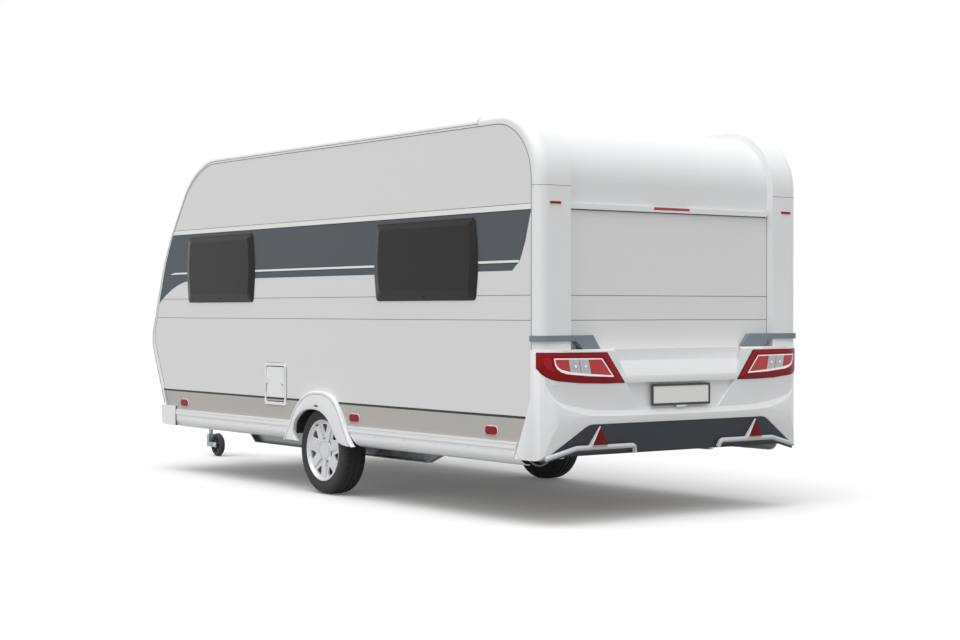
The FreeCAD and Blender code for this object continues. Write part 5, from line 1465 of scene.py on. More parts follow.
@dataclass
class RearBumper(Assembly):
    """The moulded bumper: two tiers with a shelf between them, ledge, recess, wings and bars."""

    low: float = 0.425
    top: float = 1.124
    face: float = -3.400
    seam: float = -3.253
    tier_face: float = -3.376
    tier_top: float = 0.906
    tier_low: float = 0.500
    tier_rise: float = 0.225
    shelf_fall: float = 2.0
    tool_half: float = 1.300
    tool_top: float = 1.600
    swoosh: tuple[Corner, ...] = (
        (1.300, 1.060), (1.160, 0.930), (1.138, 0.882), (1.114, 0.842), (1.078, 0.812),
        (1.030, 0.787), (0.930, 0.762), (0.822, 0.746), (0.650, 0.733), (0.450, 0.7275))
    recess: tuple[Corner, ...] = ((0.352, 0.731, 0.012), (0.492, 0.905, 0.006))
    recess_floor: float = -3.367
    wing_front: float = -3.090
    wing_top: float = 0.811
    wing_half: float = 1.158
    ledge: Corner = (0.585, 0.950, 1.048)
    ledge_depth: float = 0.046
    ledge_share: float = 0.845
    insert: tuple[Corner, ...] = ((1.096, 0.415), (1.094, 0.447), (0.784, 0.646, 0.110))
    bar: tuple[Corner, ...] = ((-3.338, 1.104, 0.438), (-3.362, 0.872, 0.497, 0.080),
                               (-3.362, 0.388, 0.497, 0.026), (-3.350, 0.374, 0.452))
    bar_radii: Span = (0.0165, 0.010)
    behind: float = -3.500

    def side_form(self) -> Shape:
        """Makes the bumper's outline from the side as a solid across it."""
        return Bench.plate("side_form", "y", -self.tool_half, self.tool_half, [
            (self.seam, self.low), (self.face + 0.066, self.low, 0.060),
            (self.face, 0.720, 0.090), (self.face, self.top, 0.014), (self.seam, self.top)])

    def tier_tool(self) -> Shape:
        """Makes the solid that sets the upper tier back above its sloping shelf.

        Returns:
            The solid.
        """
        half, above, step = self.tool_half, self.tool_top, 0.100
        start, end = self.face - 0.050, self.seam - 0.006
        tool = Bench.plate("tier_tool", "x", start, end, [
            *both_halves(self.swoosh), (-half, above), (half, above)])
        with Bench.editing(tool, "VERT"):
            for level in (start, end):
                Bench.choose(tool, "verts", lambda corner: (
                    abs(corner.co.x - level) < 1e-4 and corner.co.z < above - step))
                fall = (level - self.tier_face) * self.shelf_fall
                bpy.ops.transform.translate(value=(0, 0, fall))
        limit = Bench.plate("tier_limit", "z", 0.300, self.tier_top, centred(
            self.face + step, 0, 0.300, half + step))
        Bench.carve(tool, limit, "INTERSECT")
        inner = bumper_slab("tier_inner", 0.0, self.tier_low, self.tier_top + 0.002)
        share = (self.tier_face - self.seam) / (self.face - self.seam)
        with Bench.editing(inner, "VERT"):
            Bench.choose(inner, "verts", lambda corner: corner.co.z < self.tier_low + step)
            bpy.ops.transform.translate(value=(0, 0, self.tier_rise))
            bpy.ops.transform.resize(value=(share, 1, 1), center_override=(self.seam, 0, 0))
        return Bench.carve(tool, inner)

    def build(self) -> None:
        """Shapes the bumper and its bars and seats them for the plain ones."""
        bumper = Bench.carve(bumper_slab("bumper", 0.0, self.low, self.top), self.side_form(),
                             "INTERSECT")
        joint = self.seam - 0.002
        for side in Side:
            inner, outer = sorted((side.value * SKIN, side.value * self.wing_half))
            wing = Bench.plate("wing", "y", inner, outer, [
                (joint, self.low), (self.wing_front, self.low, 0.030), (joint, self.wing_top)])
            Bench.carve(bumper, wing, "UNION")
        Bench.carve(bumper, self.tier_tool())
        Bench.carve(bumper, self.ledge_tool())
        for name, depth, half in (("recess", self.recess_floor, self.recess),
                                  ("insert_opening", self.seam + 0.010, self.insert)):
            outline = both_halves(half)
            outline.insert(0, outline.pop())
            Bench.carve(bumper, Bench.plate(name, "x", self.behind, depth, outline))
        Bench.soften(bumper, 0.003, 3, 22)
        self.seat(Bench.smooth(bumper, 28), Look.BUMPER_WHITE, stands_for=("rear_bumper",))
        self.bars()

    def ledge_tool(self) -> Shape:
        """Makes the solid that leaves the ledge over the number plate.

        Returns:
            The solid, narrower below than above.
        """
        half, low, high = self.ledge
        above, floor = high + 0.252, self.face + self.ledge_depth
        tool = Bench.plate("ledge", "y", -half, half, [
            (self.behind, low), (self.face, low), (floor, high), (floor, above),
            (self.behind, above)])
        with Bench.editing(tool, "VERT"):
            Bench.choose(tool, "verts", lambda corner: corner.co.z < (low + high) / 2)
            bpy.ops.transform.resize(value=(1, self.ledge_share, 1), center_override=(0, 0, 0))
        return tool

    def bars(self) -> None:
        """Bends the two stepped bars under the insert; the lower one is dark, partly a bar and
        partly painted shade under the upper one.
        """
        radius, step_shade_radius = self.bar_radii
        upper = Bench.tube("upper", list(self.bar), radius, sides=16)
        self.seat_joined(upper, "bumper_rails", Look.SILVER_TRIM, "bumper_bars")
        # The lower, black tube is partly a second bar and partly painted shade under the silver
        # one.
        step = [(x + 0.014, y, z - 0.020, *bend) for x, y, z, *bend in self.bar[:3]]
        self.seat_pair(Bench.tube("lower", step, step_shade_radius, sides=12), "rail_step_shade",
                       Look.BLACK_PLASTIC)


@dataclass
class LampClusters(Assembly):
    """The rear lamp clusters that wrap round the bumper's corners."""

    housing: tuple[Corner, ...] = (
        (0.500, 0.906, 0.004), (0.668, 0.905), (0.860, 0.911), (1.030, 0.926), (1.075, 0.936),
        (1.108, 0.952), (1.130, 0.972), (1.144, 1.000), (1.190, 1.045), (1.190, 1.107),
        (0.652, 1.105, 0.004))
    rim: tuple[Corner, ...] = (
        (0.508, 0.9095, 0.003), (0.668, 0.9085), (0.860, 0.9145), (1.029, 0.9295),
        (1.073, 0.9395), (1.105, 0.955), (1.126, 0.975), (1.140, 1.003), (1.190, 1.050),
        (1.190, 1.1035), (0.6535, 1.1015, 0.003))
    top_line: tuple[Corner, ...] = (
        (0.537, 0.928, 0.002), (0.560, 0.930, 0.002), (0.676, 1.083, 0.004), (1.110, 1.086, 0.002),
        (1.110, 1.094, 0.002), (0.662, 1.092, 0.004))
    end_patch: tuple[Corner, ...] = (
        (1.083, 1.074, 0.004), (1.079, 1.020, 0.010), (1.055, 0.984, 0.004), (1.100, 1.000, 0.008),
        (1.118, 1.030, 0.008), (1.124, 1.074, 0.004))
    bezel: tuple[Corner, ...] = (
        (0.596, 0.946, 0.002), (0.800, 0.955), (0.973, 0.970), (1.020, 0.984), (1.046, 1.002),
        (1.060, 1.026), (1.068, 1.071, 0.003), (0.696, 1.067, 0.003))
    window: tuple[Corner, ...] = (
        (0.614, 0.956, 0.002), (0.800, 0.969), (0.940, 0.982), (1.016, 0.998), (1.040, 1.014),
        (1.053, 1.034), (1.060, 1.063, 0.002), (0.701, 1.060, 0.002))
    cells: tuple[tuple[Bounds, Look], ...] = (
        ((0.560, 0.770, 0.640, 0.806), Look.RED_LENS),
        ((0.774, 0.851, 0.810, 0.884), Look.CLEAR_LENS),
        ((0.855, 0.936, 0.888, 0.966), Look.CLEAR_LENS),
        ((0.940, 1.100, 0.970, 1.100), Look.RED_LENS))
    cell_levels: Span = (0.930, 1.080)
    face_span: Span = (-3.420, -3.300)
    hole_span: Span = (-3.430, -3.200)
    slab_levels: Span = (0.880, 1.120)
    bulb_face: float = -3.4030
    bulb_level: float = 1.018
    bulb_places: Span = (0.829, 0.911)

    def on_face(self, name: str, corners: tuple[Corner, ...] | list[Corner],
                proud: float) -> Shape:
        """Makes a piece of the lamp, proud of the bumper's face by so much."""
        piece = Bench.plate(name, "x", *self.face_span, list(corners))
        return Bench.carve(piece, bumper_slab("lamp_face", proud, *self.slab_levels), "INTERSECT")

    def build(self) -> None:
        """Shapes housings, rims, bezels, cells and bulbs."""
        housing = Bench.soften(self.on_face("housing", self.housing, 0.0040), 0.002)
        self.seat_joined(housing, "lamp_housings", Look.RIM_RED, "rear_lamps")
        inner = self.on_face("inner", self.rim, 0.0049)
        self.seat_pair(Bench.soften(inner, 0.0015), "lamp_body", Look.DEEP_RED)
        for word, corners in (("top", self.top_line), ("end", self.end_patch)):
            line = self.on_face("line", corners, 0.0053)
            self.seat_pair(line, f"lamp_{word}_line", Look.PALE_RED)
        bezel = self.on_face("bezel", self.bezel, 0.0060)
        hole = Bench.plate("hole", "x", *self.hole_span, list(self.window))
        Bench.carve(bezel, hole, keep_tool=True)
        self.seat_pair(bezel, "lamp_bezel", Look.BRIGHT_TRIM)
        back = self.on_face("back", self.window, 0.0051)
        self.seat_pair(back, "lamp_back", Look.BLACK_PLASTIC)
        low, high = self.cell_levels
        for number, ((low_start, low_end, top_start, top_end), look) in enumerate(self.cells, 1):
            cell = self.on_face("cell", [(low_start, low), (low_end, low), (top_end, high),
                                         (top_start, high)], 0.0056)
            Bench.carve(cell, hole, "INTERSECT", keep_tool=True)
            self.seat_pair(cell, f"lamp_cell{number}", look)
        bpy.data.objects.remove(hole)
        bulbs = [Bench.turned("bulb", "x", (self.bulb_face, y, self.bulb_level), [
            (0.0, 0.0), (0.0, 0.009), (-0.0014, 0.0075), (-0.0019, 0.004), (-0.0020, 0.0)], 24)
            for y in self.bulb_places]
        self.seat_pair(Bench.join("bulbs", *bulbs), "lamp_bulbs", Look.BRIGHT_TRIM)


@dataclass
class BumperTrim(Assembly):
    """The number plate with its frame, and the red triangles on their pale holders."""

    plate_face: float = -3.390
    plate_half: float = 0.252
    plate_levels: Span = (0.758, 0.882)
    carrier: Bounds = (-0.235, 0.768, 0.235, 0.872)
    holder_span: Span = (-3.3870, -3.312)
    holder: tuple[Corner, ...] = ((0.694, 0.6345, 0.003), (0.625, 0.509, 0.003),
                                  (0.763, 0.509, 0.003))
    triangle_span: Span = (-3.3915, -3.3860)
    triangle: tuple[Corner, ...] = ((0.694, 0.628, 0.002), (0.631, 0.5125, 0.002),
                                    (0.757, 0.5125, 0.002))

    def build(self) -> None:
        """Dresses what is set in the bumper and adds the plate's frame, latch and carrier."""
        self.dress(Look.INSERT_SLATE, "bumper_insert")
        self.dress(Look.SLATE_PLASTIC, "rear_strips")
        self.dress(Look.PLATE_WHITE, "number_plate")
        half, (low, high), face = self.plate_half, self.plate_levels, self.plate_face
        rim = Bench.plate("plate_frame", "x", face - 0.004, face + 0.006, rectangle(
            -half - 0.008, low - 0.010, half + 0.008, high + 0.008, 0.010))
        Bench.carve(rim, Bench.plate("plate_hole", "x", face - 0.110, face + 0.090, rectangle(
            -half + 0.006, low + 0.006, half - 0.006, high - 0.006, 0.004)))
        self.seat(Bench.soften(rim, 0.0015), Look.BLACK_PLASTIC)
        latch = Bench.pad("plate_latch", "x", face - 0.003, face + 0.006, [
            (-0.050, low - 0.008), (0.050, low - 0.008), (0.034, low - 0.024, 0.006),
            (-0.034, low - 0.024, 0.006)], 0.0015)
        self.seat(latch, Look.BUMPER_WHITE)
        self.triangles()
        carrier = Bench.pad("block", "x", face + 0.005, face + 0.026,
                            rectangle(*self.carrier, 0.008), 0.003)
        self.seat(carrier, Look.BLACK_PLASTIC)

    def triangles(self) -> None:
        """Adds the red triangles and the holders that they are stuck on."""
        holder = Bench.pad("holder", "x", *self.holder_span, list(self.holder), 0.0015)
        self.seat_pair(holder, "triangle_holder", Look.BUMPER_WHITE)
        red = Bench.pad("red", "x", *self.triangle_span, list(self.triangle), 0.001)
        self.seat_joined(red, "triangle_reflectors", Look.DARK_RED, "rear_reflectors")


@dataclass
class Windows(Assembly):
    """The acrylic side windows with their seals, hinge rails and stays."""

    seal_half: float = 0.006
    seal_span: Span = (SKIN - 0.0005, SKIN + 0.0035)
    rail_span: Span = (SKIN - 0.0005, SKIN + 0.010)
    stay_span: Span = (SKIN + 0.0105, SKIN + 0.0145)
    stay_inset: float = 0.062

    def build(self) -> None:
        """Dresses the panes and blinds and adds the seals."""
        self.dress(Look.WINDOW_GLAZING, "window_panes", "door_window")
        self.dress(Look.BLIND, "window_blinds")
        for side, spans in PANES.items():
            for number, (start, end) in enumerate(spans, start=1):
                self.surround(side, f"{side.word}{number}", start, end)

    def surround(self, side: Side, word: str, start: float, end: float) -> None:
        """Adds what goes round one window.

        Args:
            side: Its side.
            word: End of the pieces' names.
            start: Its rear end.
            end: Its front end.
        """
        low, top = PANE_LEVELS
        seal = Bench.ring("seal", "y", *self.seal_span, pane_outline(start, end, self.seal_half),
                          pane_outline(start, end, -self.seal_half))
        self.seat_on(side, Bench.soften(seal, 0.001), f"window_seal_{word}", Look.BLACK_RUBBER)
        rail = Bench.pad("rail", "y", *self.rail_span, rectangle(
            start + 0.02, top + 0.001, end - 0.02, top + 0.013, 0.004), 0.002)
        self.seat_on(side, rail, f"window_rail_{word}", Look.BLACK_PLASTIC)
        places = (start + self.stay_inset, (start + end) / 2, end - self.stay_inset)
        stays = [Bench.pad("stay", "y", *self.stay_span,
                           centred(x, low + 0.026, 0.022, 0.006, 0.004), 0.001) for x in places]
        self.seat_on(side, Bench.join("stays", *stays), f"window_stays_{word}",
                     Look.WINDOW_EDGE)


@dataclass
class ServiceHatch(Assembly):
    """The service hatch on the left side, with its seal and lock."""

    face: float = 1.155
    foot: Bounds = (-0.211, 0.638, 0.125, 0.969)
    foot_opening: Bounds = (-0.200, 0.649, 0.114, 0.958)
    bead: Bounds = (-0.194, 0.655, 0.108, 0.952)
    lock_place: Span = (-0.150, 0.803)

    def build(self) -> None:
        """Dresses the hatch and adds its seam, bead and lock."""
        self.dress(Look.MOULDED_WHITE, "hatch_frame", "service_flap")
        foot = Bench.ring("hatch_foot", "y", SKIN - 0.0004, SKIN + 0.0014,
                          rectangle(*self.foot, 0.048), rectangle(*self.foot_opening, 0.038))
        self.seat(foot, Look.SEAM_SHADOW)
        path = [(x, self.face, z, bend) for x, z, bend in rectangle(*self.bead, 0.034)]
        self.seat(Bench.tube("hatch_bead", path, 0.0016, closed=True, sides=6),
                  Look.MOULDED_WHITE)
        x, z = self.lock_place
        self.key_lock("hatch_lock", (x, self.face, z), 0.013, Side.LEFT, "service_flap")


@dataclass
class EntranceDoor(Assembly):
    """The entrance door on the right side, and what stands round it."""

    skin: float = -SKIN
    door: str = "entrance_door"
    leaf: Bounds = (0.103, 0.552, 0.709, 2.293)
    leaf_bend: float = 0.053
    glass: Bounds = (0.206, 1.480, 0.606, 2.000)
    glass_bend: float = 0.060
    lock_place: Span = (0.160, 1.180)
    rail_place: float = 0.030
    rail_levels: Span = (1.050, 1.400)
    rail_reach: float = 0.023
    lamp: Bounds = (0.300, 2.338, 0.520, 2.392)
    lamp_lens: Bounds = (0.310, 2.346, 0.510, 2.384)
    vents: tuple[Span, ...] = ((-1.960, 0.860), (-1.960, 1.120))
    vent_size: Span = (0.400, 0.160)
    inlet: Bounds = (-2.760, 0.860, -2.630, 1.000)
    inlet_lip: Bounds = (-2.716, 0.864, -2.674, 0.876)

    def build(self) -> None:
        """Dresses the door and adds its seals and lock, and what stands beside it."""
        self.dress(Look.SIDE_SHEET, "entrance_door")
        self.dress(Look.BLACK_PLASTIC, "door_handle")
        skin, leaf, bend = self.skin, self.leaf, self.leaf_bend
        gasket = Bench.ring("door_gasket", "y", skin + 0.002, skin + 0.0045,
                            grown(leaf, 0.0068, bend), grown(leaf, 0.0052, bend))
        self.seat(gasket, Look.BLACK_RUBBER)
        trim = Bench.ring("door_trim", "y", skin - 0.0022, skin + 0.0003,
                          grown(leaf, 0.022, bend), grown(leaf, 0.0072, bend))
        self.seat(Bench.soften(trim, 0.0008), Look.MOULDED_WHITE)
        seal = Bench.ring("door_window_seal", "y", skin - 0.003, skin + 0.0005,
                          grown(self.glass, 0.014, self.glass_bend),
                          grown(self.glass, -0.004, self.glass_bend))
        self.seat(Bench.soften(seal, 0.001), Look.BLACK_RUBBER, self.door)
        x, z = self.lock_place
        self.key_lock("door_lock", (x, skin, z), 0.014, Side.RIGHT, self.door)
        self.grab_rail()
        base = Bench.pad("awning_lamp_base", "y", skin - 0.006, skin + 0.0005,
                         rectangle(*self.lamp, 0.020), 0.002)
        self.seat(base, Look.MOULDED_WHITE)
        lens = Bench.pad("awning_lamp_lens", "y", skin - 0.022, skin - 0.005,
                         rectangle(*self.lamp_lens, 0.016), 0.006, 3)
        self.seat(lens, Look.CLEAR_LENS)
        for number, place in enumerate(self.vents, start=1):
            self.vent(number, *place)
        inlet = Bench.pad("inlet_cover", "y", skin - 0.010, skin + 0.0005,
                          rectangle(*self.inlet, 0.018), 0.003, 3)
        lip = Bench.pad("inlet_lip", "y", skin - 0.016, skin - 0.009,
                        rectangle(*self.inlet_lip, 0.004), 0.001)
        self.seat(Bench.join("mains_inlet", inlet, lip), Look.MOULDED_WHITE)

    def grab_rail(self) -> None:
        """Adds the grab rail beside the door."""
        x, (low, top), out = self.rail_place, self.rail_levels, self.skin - self.rail_reach
        rail = Bench.tube("door_grab", [
            (x, self.skin, low), (x, out, low, 0.016), (x, out, top, 0.016),
            (x, self.skin, top)], 0.010, sides=12)
        feet = [Bench.turned("foot", "y", (x, self.skin, z), [
            (0.0, 0.0), (0.0, 0.020), (-0.006, 0.018, 0.002), (-0.006, 0.0)], 24)
            for z in self.rail_levels]
        self.seat(Bench.join("door_grab_rail", rail, *feet), Look.MOULDED_WHITE)

    def vent(self, number: int, x: float, z: float) -> None:
        """Adds one vent grille with its slats and, behind them, a dark sheet that is painted shade.

        Args:
            number: Its number.
            x: Its rear end.
            z: Its lower edge.
        """
        skin, (long, high) = self.skin, self.vent_size
        box = (x, z, x + long, z + high)
        shell = Bench.ring("vent_frame", "y", skin - 0.006, skin + 0.0005,
                           rectangle(*box, 0.014), grown(box, -0.018, 0.024))
        slat = Bench.plate("slat", "x", x + 0.016, x + long - 0.016, [
            (skin - 0.005, z + 0.020), (skin - 0.0035, z + 0.020), (skin + 0.001, z + 0.030),
            (skin - 0.0005, z + 0.030)])
        slats = Bench.row(slat, 9, (0, 0, 0.0135))
        self.seat(Bench.join(f"vent_grille{number}", Bench.soften(shell, 0.0015), slats),
                  Look.MOULDED_WHITE)
        # A dark sheet behind the slats: painted shade inside the vent.
        back = Bench.plate(f"vent_dark{number}", "y", skin - 0.0008, skin + 0.0008,
                           grown(box, -0.017, 0.017))
        self.seat(back, Look.BLACK_PLASTIC)


@dataclass
class Skirts(Assembly):
    """Side marker lamps, the arches over the wheels and the skirts' screws."""

    half: float = SKIN
    places: tuple[float, ...] = (-2.839, -1.184, 1.486)
    level: float = 0.595
    marker_half: Span = (0.0665, 0.0315)
    axle: float = -0.684
    arch_face: float = 1.186
    arch_low: float = 0.385
    groove_share: float = 0.062
    bead_share: float = 0.034
    plug: Bounds = (-0.724, 0.655, -0.674, 0.669)
    screw_starts: tuple[tuple[str, float], ...] = (("rear", -2.960), ("front", 0.010))
    screw_level: float = 0.474
    screw_pitch: float = 0.375
    joint: Bounds = (1.6345, 0.398, 1.6375, 0.558)
    outer: tuple[Corner, ...] = (
        (-0.520, 0.385), (-0.488, 0.410), (-0.455, 0.450), (-0.420, 0.501), (-0.383, 0.562),
        (-0.352, 0.615), (-0.320, 0.659), (-0.284, 0.698), (-0.240, 0.731), (-0.190, 0.753),
        (-0.123, 0.768), (-0.050, 0.774), (0.026, 0.772), (0.090, 0.762), (0.150, 0.743),
        (0.212, 0.712), (0.265, 0.673), (0.310, 0.627), (0.350, 0.576), (0.385, 0.520),
        (0.430, 0.450), (0.475, 0.385))
    inner: tuple[Corner, ...] = (
        (0.258, 0.385), (0.300, 0.404), (0.322, 0.431), (0.330, 0.464), (0.322, 0.501),
        (0.300, 0.537), (0.265, 0.568), (0.222, 0.596), (0.175, 0.617), (0.120, 0.629),
        (0.060, 0.633), (0.000, 0.631), (-0.060, 0.622), (-0.123, 0.597), (-0.170, 0.564),
        (-0.212, 0.525), (-0.247, 0.481), (-0.280, 0.439), (-0.321, 0.406), (-0.370, 0.392),
        (-0.430, 0.385))

    def line(self, corners: tuple[Corner, ...], y: float, inset: float) -> list[Corner]:
        """Gives the line of an outline over the wheel, drawn in to the axle by a share."""
        return [(self.axle + reach * (1 - inset), y, z - inset * (z - self.arch_low))
                for reach, z in corners]

    def arches(self) -> None:
        """Shapes the arches over the wheels, with their beads and seams."""
        face = self.arch_face
        outline = [(self.axle + reach, z) for reach, z in (*self.outer, *self.inner)]
        arch = Bench.pad("arch", "y", self.half - 0.001, face - 0.0015, outline, 0.009, 4, 50)
        self.seat_joined(arch, "wheel_arches", Look.MOULDED_WHITE, "wheel_spats")
        groove = self.line(self.outer, face - 0.0019, self.groove_share)
        self.seat_pair(Bench.tube("groove", groove, 0.0016, sides=6), "spat_groove",
                       Look.SEAM_SHADOW)
        bead = self.line(self.outer, face - 0.006, self.bead_share)
        self.seat_pair(Bench.tube("bead", bead, 0.006, sides=10), "arch_bead",
                       Look.MOULDED_WHITE)
        plug = Bench.pad("mark", "y", face - 0.004, face - 0.0003,
                         rectangle(*self.plug, 0.004), 0.0006)
        self.seat_pair(plug, "crown_plug", Look.SEAM_SHADOW)

    def build(self) -> None:
        """Dresses the markers, rims them and adds arches, screws and joints."""
        self.dress(Look.DEEP_RED, "marker_lamps")
        half = self.half
        for number, x in enumerate(self.places, start=1):
            name = f"marker_rim{number}"
            rim = Bench.pad(name, "y", half - 0.001, half + 0.004,
                            centred(x, self.level, *self.marker_half, 0.031), 0.002)
            self.seat_pair(rim, name, Look.MOULDED_WHITE)
        self.arches()
        for word, x in self.screw_starts:
            screw = Bench.turned("screw", "y", (x, half + 0.005, self.screw_level), [
                (0.0, 0.0), (0.0, 0.0065), (0.0022, 0.005), (0.0025, 0.0)], 12)
            self.seat_pair(Bench.row(screw, 5, (self.screw_pitch, 0, 0)),
                           f"skirt_screws_{word}", Look.SILVER_TRIM)
        joint = Bench.plate("joint", "y", half - 0.001, half + 0.0128, rectangle(*self.joint))
        self.seat_pair(joint, "corner_joint", Look.SEAM_SHADOW)


@dataclass
class RoadWheel(Assembly):
    """One road wheel: tyre, rim, hub cap and brake drum."""

    side: Side = Side.LEFT
    axle: tuple[float, float] = (-0.684, 0.328)
    inner: float = 0.925
    outer: float = 1.125
    radius: float = 0.328
    blocks: int = 72
    groove: float = 0.007
    ribs: tuple[Span, ...] = ((-0.068, -0.044), (-0.036, -0.006), (0.006, 0.036), (0.044, 0.068))
    crown_fall: float = 0.006
    gap_depth: float = 0.004

    def tyre(self) -> Shape:
        """Makes the tyre with grooves and blocks.

        Returns:
            The tyre as it is on the left.
        """
        x, z = self.axle
        middle = (self.inner + self.outer) / 2
        top, base = self.radius, self.radius - self.groove
        half = (self.outer - self.inner) / 2
        crown = []
        for start, end in self.ribs:
            drop = self.crown_fall * (abs(start + end) / 2 / self.ribs[-1][1]) ** 2
            crown += [(start, base), (start + 0.001, top - drop), (end - 0.001, top - drop),
                      (end, base)]
        shoulder = [(-0.084, top - 0.012), (-0.072, top - 0.007), (-0.0715, base - 0.001)]
        wall = [(-half + 0.022, 0.214, 0.004), (-half + 0.014, 0.224, 0.003),
                (-half + 0.008, 0.236, 0.003), (-half + 0.0015, 0.262, 0.02),
                (-half, 0.280, 0.02), (-half + 0.006, 0.304, 0.012)]
        inner = [*wall, *shoulder]
        outer = [(-a, *rest) for a, *rest in reversed(inner)]
        bead = [(half - 0.022, 0.212), (-half + 0.022, 0.212)]
        profile = [*inner, *crown, *outer, *bead]
        tyre = Bench.turned(f"road_tyre_{self.side.word}", "y", (x, middle, z), profile,
                            self.blocks * 2, ring=True)
        axis = Vector((x, middle, z))

        def in_block(face: bmesh.types.BMFace) -> bool:
            """Tells whether a tread face becomes part of a gap between two blocks.

            Args:
                face: The face.

            Returns:
                True for a face of a gap.
            """
            centre = face.calc_center_median() - axis
            reach = math.hypot(centre.x, centre.z)
            turn = math.atan2(centre.z, centre.x) / math.tau * self.blocks
            return reach > self.radius - 0.0085 and turn % 1 < 0.5 and (
                abs(centre.y) > 0.052) and (math.floor(turn) % 2 == 0)

        with Bench.editing(tyre):
            Bench.choose(tyre, "faces", in_block)
            bpy.ops.mesh.extrude_region_shrink_fatten(
                TRANSFORM_OT_shrink_fatten={"value": -self.gap_depth})
        return tyre

    def build(self) -> None:
        """Dresses the wheel, replaces its plain tyre and adds cap, rings and valve."""
        side, word = self.side, self.side.word
        self.body = f"wheel_{word}"
        self.dress(Look.ALLOY, f"wheel_rim_{word}")
        self.dress(Look.DRUM, f"brake_drum_{word}")
        self.seat_on(side, self.tyre(), f"road_tyre_{word}", Look.TYRE, (f"tyre_{word}",))
        x, z = self.axle
        hub = (x, 0.0, z)
        cap = Bench.turned("cap", "y", hub, [
            (1.1025, 0.0), (1.1025, 0.0655), (1.1045, 0.060), (1.1058, 0.030), (1.1062, 0.0)])
        self.seat_on(side, cap, f"hub_cap_{word}", Look.ALLOY)
        edge = Bench.turned("edge", "y", hub, [
            (1.0895, 0.0845), (1.0925, 0.0835), (1.0925, 0.0895), (1.0895, 0.0905)], ring=True)
        line = Bench.turned("line", "y", hub, [
            (1.1026, 0.0672), (1.1034, 0.0672), (1.1034, 0.0690), (1.1026, 0.0690)], ring=True)
        self.seat_on(side, Bench.join("rings", edge, line), f"cap_rings_{word}",
                     Look.BLACK_PLASTIC)
        valve = Bench.turned("valve", "y", (x + 0.100, 0.0, z + 0.180), [
            (1.090, 0.0), (1.090, 0.0055), (1.104, 0.0045), (1.1045, 0.0052), (1.114, 0.0050),
            (1.1148, 0.0)], 14)
        self.seat_on(side, valve, f"valve_{word}", Look.BLACK_RUBBER)


@dataclass
class RoofGear(Assembly):
    """Frames and hinges of the roof hatches, and the vents on the roof."""

    skin: float = 2.585
    hatches: tuple[Corner, ...] = ((-1.984, -1.584, 0.200), (0.216, 0.916, 0.250))
    rim_bend: float = 0.058
    hinge_share: float = 0.6
    vents: tuple[Span, ...] = ((-0.750, 0.720), (-2.350, -0.700))

    def build(self) -> None:
        """Frames the hatches and adds the vents."""
        skin = self.skin
        for number, (start, end, half) in enumerate(self.hatches, start=1):
            box = (start, -half, end, half)
            rim = Bench.ring("rim", "z", skin - 0.001, skin + 0.016,
                             grown(box, 0.022, self.rim_bend), grown(box, 0.002, self.rim_bend))
            hinges = [Bench.pad("hinge", "z", skin, skin + 0.024, centred(
                start - 0.0165, y, 0.0135, 0.025, 0.004), 0.003)
                for y in (-half * self.hinge_share, half * self.hinge_share)]
            self.seat(Bench.join(f"hatch_rim{number}", Bench.soften(rim, 0.003, 3), *hinges),
                      Look.MOULDED_WHITE)
        vents = [Bench.turned("vent", "z", (x, y, skin), [
            (-0.001, 0.0), (-0.001, 0.062), (0.006, 0.062, 0.003), (0.008, 0.040),
            (0.022, 0.040), (0.024, 0.056), (0.038, 0.046, 0.012), (0.042, 0.0)], 32)
            for x, y in self.vents]
        self.seat(Bench.join("roof_vents", *vents), Look.MOULDED_WHITE)


